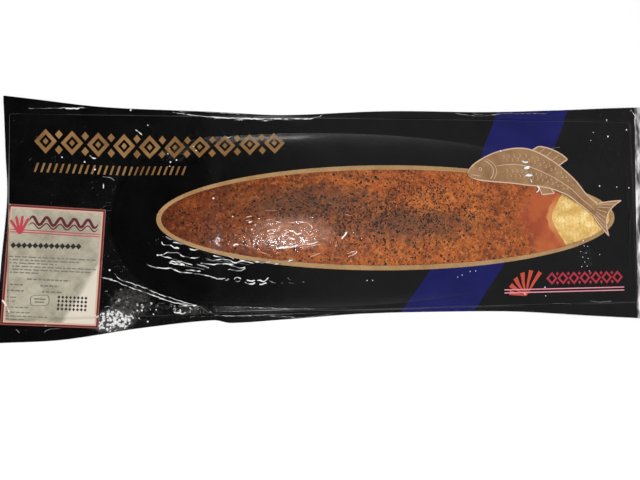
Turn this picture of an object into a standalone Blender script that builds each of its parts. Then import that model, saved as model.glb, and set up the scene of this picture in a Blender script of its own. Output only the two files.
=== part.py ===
"""A vacuum pack with a side of smoked salmon in it, lying flat with its printed side up.

The long pouch is one skin of film with an oval window in its upper side. In it lies a stiff board,
on the board the salmon side, and over the window the clear part of the film. A paper label is stuck
on the left end. Units are metres: +X runs to the tail end, +Y to the upper long edge, +Z up.
"""

import math
import random

import bmesh
import bpy
from mathutils import Matrix, Vector

MM = 0.001

# The pouch, seen from above. Knots are (place along the edge, where the edge is), in millimetres
TOP_EDGE = [(-317, 113.5), (-231, 104.5), (-120, 101), (-60, 99), (40, 104), (165, 105), (275, 110), (323, 112)]
BOTTOM_EDGE = [
    (-323.5, -113.5),
    (-267, -112.5),
    (-196, -104),
    (-128, -98.5),
    (-112, -101.5),
    (-65, -100),
    (13, -96.5),
    (115, -97),
    (178, -99),
    (264, -106),
    (323, -110.5),
]
LEFT_EDGE = [(-113.5, -323.5), (-40, -318), (20, -313.5), (60, -315), (113.5, -317)]
RIGHT_EDGE = [(-110.5, 323), (0, 323.5), (112, 323)]

# The film, as thick as a solid of this size needs it
SEAL_THICKNESS = 1.0 * MM
TOP_FILM = 0.8 * MM
BOTTOM_FILM = 0.9 * MM
SEAL_LIFT = 1.3 * MM
SEAL_WAVES = (31, 47, 23, -9)
SEAL_RISE_START, SEAL_RISE_END = 3 * MM, 16 * MM

# The board under the fish
BOARD_LEFT, BOARD_RIGHT = -309 * MM, 303 * MM
BOARD_LOW, BOARD_HIGH = -90 * MM, 94 * MM
BOARD_THICKNESS = 1.5 * MM
BOARD_CORNER, BOARD_CORNER_STEPS = 6 * MM, 6
GAP = 0.3 * MM
BOARD_TOP = BOTTOM_FILM + GAP + BOARD_THICKNESS
FILM_ON_BOARD = BOARD_TOP + 0.4 * MM + TOP_FILM
LEDGE_START, LEDGE_END = 1.0 * MM, 4.5 * MM

# The oval window in the print
WINDOW_X, WINDOW_Y = 53 * MM, -4 * MM
WINDOW_HALF_LENGTH, WINDOW_HALF_WIDTH = 226 * MM, 46 * MM
WINDOW_FILM = 0.5 * MM

# The salmon side, from its round shoulder end at the left to the cut tail end at the right
FISH_AXIS_Y = -4 * MM
SHOULDER_X = -120 * MM
SHOULDER_REACH = 100 * MM
SHOULDER_BLUNT = 3 * MM
TAIL_X = 213 * MM
TAIL_NOTCH, TAIL_NOTCH_ROUND = 0.7, 8 * MM
TAIL_BEND = 60 * MM
TAIL_DRAPE = (2 * MM, 30 * MM)
TAIL_ROUND, TAIL_ROUND_LENGTH = 2 * MM, 14 * MM
FISH_HEIGHT = [(-120, 24.5), (-60, 27), (20, 26), (90, 21.5), (150, 14), (205, 6.5), (240, 5)]
FISH_FOOT = [(-120, 81), (-40, 85), (40, 84), (110, 78), (170, 68), (222, 58), (260, 52)]
FISH_INSET = 5 * MM
FISH_UNDER_FILM = 0.9 * MM
FISH_FLOOR = BOARD_TOP + GAP
FISH_THINNEST = 0.8 * MM

# Cracked pepper that stands out of the flesh
PEPPER_SEED = 7
PEPPER_COUNT = 92
PEPPER_RADIUS = (0.8 * MM, 1.25 * MM)
PEPPER_STAND = 0.2
PEPPER_FLATNESS = 0.55
PEPPER_STRETCH = (0.75, 1.0)
PEPPER_ROUGHNESS = 0.12
PEPPER_SPACING = 7 * MM
PEPPER_FROM_RIM = 6 * MM
PEPPER_FROM_TAIL = 8 * MM
PEPPER_SPREAD = 0.42 * WINDOW_HALF_WIDTH

# The label, turned a little clockwise
LABEL_X, LABEL_Y = -272 * MM, -45 * MM
LABEL_WIDTH, LABEL_HEIGHT = 86 * MM, 110 * MM
LABEL_TURN = math.radians(-4)
LABEL_THICKNESS = 0.3 * MM
LABEL_STEP = 7 * MM

# How finely the rings round the window are cut
SIDE_COLUMNS, LONG_COLUMNS = 12, 36
CORNER_ANGLE = 0.42
FISH_RINGS = 6
LEDGE_RINGS = 3
LEAST_FOOT_SHARE, MOST_FOOT_SHARE = 0.5, 0.9
FOOT_STEPS = 60
FOOT_HEIGHT = 0.15 * MM
WINDOW_RINGS = (0.3, 0.58, 0.7, 0.8, 0.9, 1.0)
FISH_STATIONS = 33
FISH_ARC = 16

COLOURS = {
    "pouch": (0.012, 0.012, 0.013, 0.28, 0.0),
    "window_film": (0.95, 0.93, 0.9, 0.12, 0.0),
    "salmon_side": (0.55, 0.13, 0.045, 0.45, 0.0),
    "gold_board": (0.75, 0.55, 0.2, 0.35, 0.0),
    "label": (0.6, 0.57, 0.47, 0.4, 0.0),
}


def clear_scene():
    for item in list(bpy.data.objects):
        bpy.data.objects.remove(item, do_unlink=True)


def through(knots, place):
    """The smooth curve through (place, value) knots, all in millimetres, read at a place in metres."""
    at = min(max(place / MM, knots[0][0]), knots[-1][0])
    last = len(knots) - 1
    i = next(k for k in range(last) if at <= knots[k + 1][0])

    def slope(k):
        low, high = knots[max(k - 1, 0)], knots[min(k + 1, last)]
        return (high[1] - low[1]) / (high[0] - low[0])

    (x0, y0), (x1, y1) = knots[i], knots[i + 1]
    run = x1 - x0
    t = (at - x0) / run
    value = (
        y0 * (2 * t**3 - 3 * t**2 + 1)
        + slope(i) * run * (t**3 - 2 * t**2 + t)
        + y1 * (3 * t**2 - 2 * t**3)
        + slope(i + 1) * run * (t**3 - t**2)
    )
    return value * MM


def smooth_step(low, high, value):
    t = min(max((value - low) / (high - low), 0.0), 1.0)
    return t * t * (3 - 2 * t)


def mix(a, b, share):
    return a + (b - a) * share


def beyond_board(x, y):
    """How far a place lies outside the board, below zero on it."""
    out_x = max(BOARD_LEFT - x, x - BOARD_RIGHT)
    out_y = max(BOARD_LOW - y, y - BOARD_HIGH)
    return math.hypot(max(out_x, 0.0), max(out_y, 0.0)) + min(max(out_x, out_y), 0.0)


def seal_lift(x, y):
    """The wavy seal rises a little from the ground, most at the corners."""
    a, b, c, d = SEAL_WAVES
    wave = 1 + math.sin(a * x + b * y) * math.cos(c * x + d * y)
    return SEAL_LIFT * wave * smooth_step(SEAL_RISE_START, SEAL_RISE_END, beyond_board(x, y))


def tail_end(y):
    """Where along X the cut tail ends: the cut runs in like a shallow V."""
    aside = math.hypot(y - FISH_AXIS_Y, TAIL_NOTCH_ROUND) - TAIL_NOTCH_ROUND
    return TAIL_X + TAIL_NOTCH * aside


def fish_reach(x, y):
    """0 on the fish's axis, 1 where the film that hangs over it meets the board."""
    across = (y - FISH_AXIS_Y) / through(FISH_FOOT, x)
    return math.hypot(across, min(x - SHOULDER_X, 0.0) / SHOULDER_REACH)


def bulge(x, y):
    """How far the fish lifts the film off the board."""
    inside = max(1 - fish_reach(x, y), 0.0)
    rise = math.sqrt(inside)
    dome = rise * rise * (3 - 2 * rise)
    end = tail_end(y)
    drape = smooth_step(end + TAIL_DRAPE[0], end + TAIL_DRAPE[1], x)
    return through(FISH_HEIGHT, x) * dome * (1 - drape)


def film_height(x, y):
    """The film's upper face over the whole pack."""
    seal = seal_lift(x, y) + SEAL_THICKNESS
    on_board = 1 - smooth_step(LEDGE_START, LEDGE_END, beyond_board(x, y))
    return mix(seal, FILM_ON_BOARD, on_board) + bulge(x, y)


def column_angles():
    """One angle for each column round the window, with a column at each corner of the pack."""
    sides = [
        (-CORNER_ANGLE, CORNER_ANGLE, SIDE_COLUMNS),
        (CORNER_ANGLE, math.pi - CORNER_ANGLE, LONG_COLUMNS),
        (math.pi - CORNER_ANGLE, math.pi + CORNER_ANGLE, SIDE_COLUMNS),
        (math.pi + CORNER_ANGLE, 2 * math.pi - CORNER_ANGLE, LONG_COLUMNS),
    ]
    for start, end, count in sides:
        for k in range(count):
            yield mix(start, end, k / count)


ANGLES = list(column_angles())


def side_of(angle):
    """Which side of the pack a column runs to, and how far along it, from -1 to 1."""
    wide, high = math.cos(angle), math.sin(angle)
    if abs(high) <= math.sin(CORNER_ANGLE) + 1e-9:
        return ("right" if wide > 0 else "left"), high / math.sin(CORNER_ANGLE)
    return ("top" if high > 0 else "bottom"), wide / math.cos(CORNER_ANGLE)


def along_x(share, left, right):
    """A place between left and right that has the window's middle halfway."""
    middle = (left + right) / 2
    return middle + share * (right - left) / 2 + (WINDOW_X - middle) * (1 - share * share)


def outline_point(angle):
    side, share = side_of(angle)
    if side in ("left", "right"):
        knots = LEFT_EDGE if side == "left" else RIGHT_EDGE
        low, high = knots[0][0] * MM, knots[-1][0] * MM
        y = mix(low, high, (share + 1) / 2)
        return through(knots, y), y
    knots = TOP_EDGE if side == "top" else BOTTOM_EDGE
    x = along_x(share, knots[0][0] * MM, knots[-1][0] * MM)
    return x, through(knots, x)


def board_point(angle, grow):
    """A point of the board's outline, grown by a margin."""
    left, right = BOARD_LEFT - grow, BOARD_RIGHT + grow
    low, high = BOARD_LOW - grow, BOARD_HIGH + grow
    side, share = side_of(angle)
    if side in ("left", "right"):
        return (left if side == "left" else right), mix(low, high, (share + 1) / 2)
    return along_x(share, left, right), (high if side == "top" else low)


def window_point(angle, share=1.0, shrink=0.0):
    x = WINDOW_X + (WINDOW_HALF_LENGTH - shrink) * share * math.cos(angle)
    y = WINDOW_Y + (WINDOW_HALF_WIDTH - shrink) * share * math.sin(angle)
    return x, y


def ring(place, height):
    """One closed row of points: place gives x and y for an angle, height gives z for them."""
    return [Vector((*place(angle), height(*place(angle)))) for angle in ANGLES]


def add_object(name, mesh_maker):
    mesh = bpy.data.meshes.new(name)
    work = bmesh.new()
    mesh_maker(work)
    bmesh.ops.recalc_face_normals(work, faces=work.faces)
    work.to_mesh(mesh)
    work.free()
    made = bpy.data.objects.new(name, mesh)
    bpy.context.scene.collection.objects.link(made)
    red, green, blue, roughness, metallic = COLOURS[name]
    material = bpy.data.materials.new(name)
    material.use_nodes = True
    shader = material.node_tree.nodes["Principled BSDF"]
    shader.inputs["Base Color"].default_value = (red, green, blue, 1)
    shader.inputs["Roughness"].default_value = roughness
    shader.inputs["Metallic"].default_value = metallic
    mesh.materials.append(material)
    return made


def join_rings(work, rings):
    """A skin over closed rings of equal length; gives back the first and the last row of corners."""
    rows = [[work.verts.new(point) for point in points] for points in rings]
    for low, high in zip(rows, rows[1:]):
        for k in range(len(low)):
            following = (k + 1) % len(low)
            work.faces.new((low[k], low[following], high[following], high[k]))
    return rows[0], rows[-1]


def close_flat(work, rings):
    """The same skin, with one flat face over each end."""
    for row in join_rings(work, rings):
        work.faces.new(row)


def on_line(angle, share, grow=0.0):
    """A point between the window's rim, at share 0, and the board's outline, at 1."""
    rim, edge = window_point(angle), board_point(angle, grow)
    return mix(rim[0], edge[0], share), mix(rim[1], edge[1], share)


def foot_share(angle):
    """Where on that line the film that comes down off the fish meets the board."""
    steps = [k / FOOT_STEPS for k in range(FOOT_STEPS + 1)]
    on_fish = [share for share in steps if bulge(*on_line(angle, share)) > FOOT_HEIGHT]
    return min(max([LEAST_FOOT_SHARE, *on_fish]), MOST_FOOT_SHARE)


FOOT = {angle: foot_share(angle) for angle in ANGLES}


def shell_place(number, grow):
    """Ring 0 is the window's rim, ring FISH_RINGS the fish's foot, the last the board's outline."""

    def place(angle):
        if number <= FISH_RINGS:
            return on_line(angle, FOOT[angle] * number / FISH_RINGS, grow)
        past = (number - FISH_RINGS) / LEDGE_RINGS
        return on_line(angle, mix(FOOT[angle], 1, past), grow)

    return place


def inside_outline(grow):
    """The board's outline grown by a margin, but kept a little inside the pouch's edge."""

    def place(angle):
        wide, edge = board_point(angle, grow), outline_point(angle)
        shoulder = board_point(angle, LEDGE_START)
        room = math.hypot(edge[0] - shoulder[0], edge[1] - shoulder[1])
        step = math.hypot(wide[0] - shoulder[0], wide[1] - shoulder[1])
        share = min(step / room, 0.8)
        return mix(shoulder[0], edge[0], share), mix(shoulder[1], edge[1], share)

    return place


def make_pouch(work):
    """Ground side, sealed edge, upper side as far as the window's rim, then back inside to the floor."""
    numbers = range(FISH_RINGS + LEDGE_RINGS + 1)
    under_film = [ring(shell_place(k, GAP), lambda x, y: film_height(x, y) - TOP_FILM) for k in numbers]
    over_film = [ring(shell_place(k, 0), film_height) for k in numbers]
    rings = [
        ring(lambda a: board_point(a, 0), lambda x, y: 0.0),
        ring(outline_point, seal_lift),
        ring(outline_point, lambda x, y: seal_lift(x, y) + SEAL_THICKNESS),
        ring(inside_outline(LEDGE_END), film_height),
        ring(lambda a: board_point(a, LEDGE_START), film_height),
        *reversed(over_film),
        *under_film,
        ring(lambda a: board_point(a, GAP), lambda x, y: BOTTOM_FILM),
    ]
    close_flat(work, rings)


def make_window_film(work):
    """The clear oval of film, a hair smaller than the opening that it closes."""
    centre = Vector((WINDOW_X, WINDOW_Y, film_height(WINDOW_X, WINDOW_Y)))

    def oval(share, sink):
        return ring(
            lambda a: window_point(a, share, GAP),
            lambda x, y: film_height(x, y) - sink,
        )

    top = [oval(share, 0) for share in WINDOW_RINGS]
    bottom = [oval(share, WINDOW_FILM) for share in WINDOW_RINGS]
    ends = join_rings(work, [*top, *reversed(bottom)])
    for row, sink in zip(ends, (0, WINDOW_FILM)):
        pole = work.verts.new(centre - Vector((0, 0, sink)))
        for k in range(len(row)):
            work.faces.new((row[k], row[(k + 1) % len(row)], pole))


def flesh_height(x, y):
    """The upper face of the fish, close under the film and rounded off at the tail's cut."""
    end = tail_end(y)
    rounding = TAIL_ROUND * smooth_step(end - TAIL_ROUND_LENGTH, end, x)
    height = film_height(x, y) - TOP_FILM - FISH_UNDER_FILM - rounding
    return max(height, FISH_FLOOR + FISH_THINNEST)


def fish_half_width(x):
    """Half the width of the side itself, inside the foot of the film that hangs over it."""
    round_end = min(x - SHOULDER_X, 0.0) / (SHOULDER_REACH - FISH_INSET)
    return (through(FISH_FOOT, x) - FISH_INSET) * math.sqrt(max(1 - round_end**2, 0.0))


def fish_section(base_x):
    """The upper edge points of one section: straight across the fish, bent to the cut near the tail."""
    bend = smooth_step(TAIL_X - TAIL_BEND, TAIL_X, base_x)
    points = []
    for k in range(FISH_ARC + 1):
        across = math.sin(mix(-math.pi / 2, math.pi / 2, k / FISH_ARC))
        x = base_x
        for _ in range(8):
            y = FISH_AXIS_Y + across * fish_half_width(x)
            x = base_x + (tail_end(y) - TAIL_X) * bend
        points.append(Vector((x, y, flesh_height(x, y))))
    return points


def make_salmon(work):
    """Sections across the fish: a domed upper face and a flat lower one, closed at both ends."""
    start = SHOULDER_X - SHOULDER_REACH + FISH_INSET + SHOULDER_BLUNT
    sections = []
    for i in range(FISH_STATIONS + 1):
        share = i / FISH_STATIONS
        share = 4 * share * share if share < 0.25 else share
        upper = fish_section(mix(start, TAIL_X, share))
        lower = [Vector((p.x, p.y, FISH_FLOOR)) for p in reversed(upper)]
        sections.append(upper + lower)
    for section in join_rings(work, sections):
        last = len(section) - 1
        for k in range(FISH_ARC):
            work.faces.new((section[k], section[k + 1], section[last - k - 1], section[last - k]))


def pepper_places(source):
    """Seeded places in the window, thickest along the fish's axis and no two too close."""
    places = []
    while len(places) < PEPPER_COUNT:
        x = source.uniform(WINDOW_X - WINDOW_HALF_LENGTH, TAIL_X - PEPPER_FROM_TAIL)
        y = source.gauss(WINDOW_Y, PEPPER_SPREAD)
        off_x = (x - WINDOW_X) / (WINDOW_HALF_LENGTH - PEPPER_FROM_RIM)
        off_y = (y - WINDOW_Y) / (WINDOW_HALF_WIDTH - PEPPER_FROM_RIM)
        apart = all(math.hypot(x - px, y - py) > PEPPER_SPACING for px, py in places)
        if math.hypot(off_x, off_y) < 1 and apart:
            places.append((x, y))
    return places


def strew_pepper(salmon):
    """Flat crushed grains sunk into the flesh, joined to it as one body."""
    source = random.Random(PEPPER_SEED)
    grains = bpy.data.collections.new("pepper")
    bpy.context.scene.collection.children.link(grains)
    for k, (x, y) in enumerate(pepper_places(source)):
        radius = source.uniform(*PEPPER_RADIUS)
        stretch = source.uniform(*PEPPER_STRETCH)
        turn = source.uniform(0, math.pi)
        work = bmesh.new()
        bmesh.ops.create_icosphere(work, subdivisions=1, radius=radius)
        for vert in work.verts:
            vert.co.x *= stretch
            vert.co.y /= stretch
            vert.co.z *= PEPPER_FLATNESS
            dent = Vector((source.uniform(-1, 1), source.uniform(-1, 1), 0))
            vert.co += dent * PEPPER_ROUGHNESS * radius
        bmesh.ops.rotate(work, verts=work.verts, matrix=Matrix.Rotation(turn, 3, "Z"))
        mesh = bpy.data.meshes.new(f"grain_{k}")
        work.to_mesh(mesh)
        work.free()
        grain = bpy.data.objects.new(f"grain_{k}", mesh)
        grain.location = (x, y, flesh_height(x, y) - PEPPER_STAND * radius)
        grains.objects.link(grain)
    join = salmon.modifiers.new("pepper", "BOOLEAN")
    join.operation = "UNION"
    join.operand_type = "COLLECTION"
    join.collection = grains
    join.solver = "EXACT"
    apply_modifiers(salmon)
    for grain in list(grains.objects):
        bpy.data.objects.remove(grain, do_unlink=True)
    bpy.data.collections.remove(grains)


def apply_modifiers(item):
    bpy.context.view_layer.update()
    graph = bpy.context.evaluated_depsgraph_get()
    mesh = bpy.data.meshes.new_from_object(item.evaluated_get(graph))
    item.modifiers.clear()
    item.data = mesh


def make_board(work):
    """A flat board with round corners."""
    corners = [
        (BOARD_RIGHT, BOARD_HIGH, 0),
        (BOARD_LEFT, BOARD_HIGH, 1),
        (BOARD_LEFT, BOARD_LOW, 2),
        (BOARD_RIGHT, BOARD_LOW, 3),
    ]
    outline = []
    for x, y, quarter in corners:
        middle_x = x - math.copysign(BOARD_CORNER, x)
        middle_y = y - math.copysign(BOARD_CORNER, y)
        for k in range(BOARD_CORNER_STEPS + 1):
            angle = (quarter + k / BOARD_CORNER_STEPS) * math.pi / 2
            x_out, y_out = BOARD_CORNER * math.cos(angle), BOARD_CORNER * math.sin(angle)
            outline.append((middle_x + x_out, middle_y + y_out))
    low = BOTTOM_FILM + GAP
    close_flat(work, [[Vector((x, y, z)) for x, y in outline] for z in (low, low + BOARD_THICKNESS)])


def label_height(x, y):
    """Clear of the film all round a place, because flat facets cut its curves short."""
    near = (-LABEL_STEP, 0.0, LABEL_STEP)
    return max(film_height(x + dx, y + dy) for dx in near for dy in near) + GAP


def make_label(work):
    """A thin sheet in small squares, which follows the film under it."""
    columns, rows = round(LABEL_WIDTH / LABEL_STEP), round(LABEL_HEIGHT / LABEL_STEP)
    layers = []
    for lift in (0.0, LABEL_THICKNESS):
        layer = []
        for j in range(rows + 1):
            row = []
            for i in range(columns + 1):
                across = (i / columns - 0.5) * LABEL_WIDTH
                up = (j / rows - 0.5) * LABEL_HEIGHT
                x = LABEL_X + across * math.cos(LABEL_TURN) - up * math.sin(LABEL_TURN)
                y = LABEL_Y + across * math.sin(LABEL_TURN) + up * math.cos(LABEL_TURN)
                row.append(work.verts.new((x, y, label_height(x, y) + lift)))
            layer.append(row)
        layers.append(layer)
    for layer in layers:
        for j in range(rows):
            for i in range(columns):
                work.faces.new((layer[j][i], layer[j][i + 1], layer[j + 1][i + 1], layer[j + 1][i]))
    rim = [(j, 0) for j in range(rows)]
    rim += [(rows, i) for i in range(columns)]
    rim += [(j, columns) for j in range(rows, 0, -1)]
    rim += [(0, i) for i in range(columns, 0, -1)]
    for k, (j, i) in enumerate(rim):
        next_j, next_i = rim[(k + 1) % len(rim)]
        low, high = layers
        work.faces.new((low[j][i], low[next_j][next_i], high[next_j][next_i], high[j][i]))


def main():
    clear_scene()
    add_object("pouch", make_pouch)
    add_object("window_film", make_window_film)
    salmon = add_object("salmon_side", make_salmon)
    strew_pepper(salmon)
    add_object("gold_board", make_board)
    add_object("label", make_label)


main()
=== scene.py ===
# %% [markdown]
# # A vacuum pack with a side of smoked salmon
#
# The pack lies flat: a black printed film, drawn tight over a board and a side of salmon, with a clear
# oval window, a gold print and a paper label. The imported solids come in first, as a fixed frame in metres.
# Every piece made here lies on that frame: +X to the tail end, +Y to the upper long edge, +Z up.

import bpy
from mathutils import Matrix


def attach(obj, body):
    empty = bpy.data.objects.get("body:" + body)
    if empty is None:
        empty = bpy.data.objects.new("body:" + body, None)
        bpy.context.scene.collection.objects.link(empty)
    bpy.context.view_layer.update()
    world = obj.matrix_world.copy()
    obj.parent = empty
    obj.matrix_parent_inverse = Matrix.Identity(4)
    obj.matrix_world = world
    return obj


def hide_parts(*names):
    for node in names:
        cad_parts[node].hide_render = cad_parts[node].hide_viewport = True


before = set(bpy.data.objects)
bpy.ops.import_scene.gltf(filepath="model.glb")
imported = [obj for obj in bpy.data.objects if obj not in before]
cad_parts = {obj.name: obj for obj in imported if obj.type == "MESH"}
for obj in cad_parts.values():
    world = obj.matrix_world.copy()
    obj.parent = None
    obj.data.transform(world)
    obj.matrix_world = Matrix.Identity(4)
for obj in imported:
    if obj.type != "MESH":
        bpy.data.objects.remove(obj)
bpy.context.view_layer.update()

# %% [markdown]
# ## A few hand tools
#
# A primitive starts out selected, and so do the imported solids, so each step begins by deselecting all.
# The film has about a hundred thousand corners. They are read and moved all at once as arrays, because
# a Python loop over them would be slow.

# %% Select, read and move corners
import math

import bpy
import numpy as np

MM = 0.001


def deselect():
    bpy.ops.object.select_all(action="DESELECT")


def only(piece):
    deselect()
    piece.select_set(True)
    bpy.context.view_layer.objects.active = piece


def edit(mode="FACE"):
    bpy.ops.object.mode_set(mode="EDIT")
    bpy.ops.mesh.select_mode(type=mode)
    bpy.ops.mesh.select_all(action="SELECT")


def done():
    bpy.ops.object.mode_set(mode="OBJECT")


def corners(piece):
    flat = np.empty(len(piece.data.vertices) * 3)
    piece.data.vertices.foreach_get("co", flat)
    return flat.reshape(-1, 3)


def move_corners(piece, x, y, z):
    piece.data.vertices.foreach_set("co", np.stack([x, y, z], axis=1).ravel())
    piece.data.update()


print("lengths are in metres; one millimetre is", MM)

# %% Name a piece, join pieces and turn their faces out
def take(name, *finishes):
    """The active piece gets its name and finishes, and its place goes into its mesh."""
    piece = bpy.context.object
    only(piece)
    bpy.ops.object.transform_apply(location=True, rotation=True, scale=True)
    piece.name = name
    piece.data.name = name
    piece.data.materials.clear()
    for finish in finishes:
        piece.data.materials.append(finish)
    return piece


def join(pieces, name):
    deselect()
    for piece in pieces:
        piece.select_set(True)
    bpy.context.view_layer.objects.active = pieces[0]
    if len(pieces) > 1:
        bpy.ops.object.join()
    pieces[0].name = name
    pieces[0].data.name = name
    return pieces[0]


def face_up(piece):
    """An open sheet has no inside, so its faces are turned by hand where they look down."""
    normals = np.empty(len(piece.data.polygons) * 3)
    piece.data.polygons.foreach_get("normal", normals)
    if normals.reshape(-1, 3)[:, 2].mean() < 0:
        only(piece)
        edit()
        bpy.ops.mesh.flip_normals()
        done()


def faces_out(piece, smooth=True):
    only(piece)
    edit()
    bpy.ops.mesh.remove_doubles(threshold=0.00001)
    bpy.ops.mesh.normals_make_consistent(inside=False)
    done()
    if smooth:
        bpy.ops.object.shade_smooth()


def place_on(piece, slot, *nodes):
    """The piece rides on the pack and stands for the solids named; its slot is not used."""
    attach(piece, "root")
    if nodes:
        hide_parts(*nodes)
    print(piece.name, "faces:", len(piece.data.polygons))


# %% [markdown]
# ## How high the film lies
#
# Vacuum pulls the film down until it touches what is in the pack: the table at the sealed edge, the board,
# and the fish on the board. That form is a few formulas of x and y, the same ones that shaped the solids,
# so that the film, the fish, the print and the label all lie on one another without any fitting.

# %% The driving sizes, as in the solids
TOP_EDGE = [
    (-317, 113.5), (-231, 104.5), (-120, 101), (-60, 99), (40, 104), (165, 105), (275, 110), (323, 112),
]
BOTTOM_EDGE = [
    (-323.5, -113.5), (-267, -112.5), (-196, -104), (-128, -98.5), (-112, -101.5), (-65, -100),
    (13, -96.5), (115, -97), (178, -99), (264, -106), (323, -110.5),
]
LEFT_EDGE = [(-113.5, -323.5), (-40, -318), (20, -313.5), (60, -315), (113.5, -317)]
RIGHT_EDGE = [(-110.5, 323), (0, 323.5), (112, 323)]
SEAL_THICKNESS = 1.0 * MM
SEAL_LIFT = 1.3 * MM
SEAL_WAVES = (31, 47, 23, -9)
SEAL_RISE_START, SEAL_RISE_END = 3 * MM, 16 * MM
BOARD_LEFT, BOARD_RIGHT = -309 * MM, 303 * MM
BOARD_LOW, BOARD_HIGH = -90 * MM, 94 * MM
FILM_ON_BOARD = 3.9 * MM
LEDGE_START, LEDGE_END = 1.0 * MM, 4.5 * MM
WINDOW_X, WINDOW_Y = 53 * MM, -4 * MM
WINDOW_HALF_LENGTH, WINDOW_HALF_WIDTH = 226 * MM, 46 * MM
FISH_AXIS_Y = -4 * MM
SHOULDER_X, SHOULDER_REACH = -120 * MM, 100 * MM
TAIL_X, TAIL_NOTCH, TAIL_NOTCH_ROUND = 213 * MM, 0.7, 8 * MM
TAIL_BEND = 60 * MM
TAIL_DRAPE = (2 * MM, 30 * MM)
TAIL_ROUND, TAIL_ROUND_LENGTH = 2 * MM, 14 * MM
FISH_HEIGHT = [(-120, 24.5), (-60, 27), (20, 26), (90, 21.5), (150, 14), (205, 6.5), (240, 5)]
FISH_FOOT = [(-120, 81), (-40, 85), (40, 84), (110, 78), (170, 68), (222, 58), (260, 52)]
FISH_INSET = 5 * MM
CORNER_ANGLE = 0.42
LABEL_X, LABEL_Y = -272 * MM, -45 * MM
LABEL_HALF_WIDTH, LABEL_HALF_HEIGHT = 43 * MM, 55 * MM
LABEL_TURN = math.radians(-4)
print("window:", round(2 * WINDOW_HALF_LENGTH / MM), "x", round(2 * WINDOW_HALF_WIDTH / MM), "mm")


# %% Curves through knots, and soft steps
def through(knots, place):
    """The smooth curve through (place, value) knots in millimetres, read at places in metres."""
    at, value = np.array(knots, float).T * MM
    slope = np.gradient(value, at, edge_order=1)
    slope[1:-1] = (value[2:] - value[:-2]) / (at[2:] - at[:-2])
    x = np.clip(place, at[0], at[-1])
    i = np.clip(np.searchsorted(at, x, side="left") - 1, 0, len(at) - 2)
    run = at[i + 1] - at[i]
    t = (x - at[i]) / run
    start = value[i] * (2 * t**3 - 3 * t**2 + 1) + slope[i] * run * (t**3 - 2 * t**2 + t)
    return start + value[i + 1] * (3 * t**2 - 2 * t**3) + slope[i + 1] * run * (t**3 - t**2)


def smooth_step(low, high, value):
    t = np.clip((value - low) / (high - low), 0.0, 1.0)
    return t * t * (3 - 2 * t)


def mix(a, b, share):
    return a + (b - a) * share


print("upper edge at the middle, mm:", round(float(through(TOP_EDGE, np.array(0.0))) / MM, 1))

# %% The film's height over the sealed edge, the board and the fish
def beyond_board(x, y):
    out_x = np.maximum(BOARD_LEFT - x, x - BOARD_RIGHT)
    out_y = np.maximum(BOARD_LOW - y, y - BOARD_HIGH)
    outside = np.hypot(np.maximum(out_x, 0.0), np.maximum(out_y, 0.0))
    return outside + np.minimum(np.maximum(out_x, out_y), 0.0)


def seal_lift(x, y):
    a, b, c, d = SEAL_WAVES
    wave = 1 + np.sin(a * x + b * y) * np.cos(c * x + d * y)
    return SEAL_LIFT * wave * smooth_step(SEAL_RISE_START, SEAL_RISE_END, beyond_board(x, y))


def tail_end(y):
    return TAIL_X + TAIL_NOTCH * (np.hypot(y - FISH_AXIS_Y, TAIL_NOTCH_ROUND) - TAIL_NOTCH_ROUND)


def bulge(x, y):
    across = (y - FISH_AXIS_Y) / through(FISH_FOOT, x)
    reach = np.hypot(across, np.minimum(x - SHOULDER_X, 0.0) / SHOULDER_REACH)
    rise = np.sqrt(np.maximum(1 - reach, 0.0))
    end = tail_end(y)
    drape = smooth_step(end + TAIL_DRAPE[0], end + TAIL_DRAPE[1], x)
    return through(FISH_HEIGHT, x) * rise * rise * (3 - 2 * rise) * (1 - drape)


def film_height(x, y):
    seal = seal_lift(x, y) + SEAL_THICKNESS
    on_board = 1 - smooth_step(LEDGE_START, LEDGE_END, beyond_board(x, y))
    return mix(seal, FILM_ON_BOARD, on_board) + bulge(x, y)


over_shoulder = film_height(np.array(-60 * MM), np.array(FISH_AXIS_Y))
print("film over the shoulder, mm:", round(float(over_shoulder) / MM, 2))

# %% [markdown]
# ## Creases
#
# The film is stiff and thin, so it gathers into creases where the vacuum had film to spare: a long double
# fold by the label, folds along the board's edges, and small pimples where air was caught. They are real
# relief, because the lamps catch them from every side. A crease is a ridge along a line: its height falls
# off with the distance from it. The finest folds are laid on later, as pieces of their own.


# %% Lumps, spots and ridges
LUMP_TABLE = 97


def lumps(x, y, size, seed):
    """Smooth random heights from -1 to 1, with lumps of about the size given."""
    n = LUMP_TABLE
    table = np.random.default_rng(seed).uniform(-1, 1, (n, n))
    u, v = x / size, y / size
    i, j = np.floor(u).astype(int), np.floor(v).astype(int)
    s, t = u - i, v - j
    s, t = s * s * s * (s * (6 * s - 15) + 10), t * t * t * (t * (6 * t - 15) + 10)
    row = mix(table[i % n, j % n], table[(i + 1) % n, j % n], s)
    next_row = mix(table[i % n, (j + 1) % n], table[(i + 1) % n, (j + 1) % n], s)
    return mix(row, next_row, t)


def spot(x, y, middle_x, middle_y, half_x, half_y):
    """1 at a place, falling softly to 0 at an oval round it."""
    reach = np.hypot((x - middle_x * MM) / (half_x * MM), (y - middle_y * MM) / (half_y * MM))
    return 1 - smooth_step(0.35, 1.0, reach)


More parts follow.
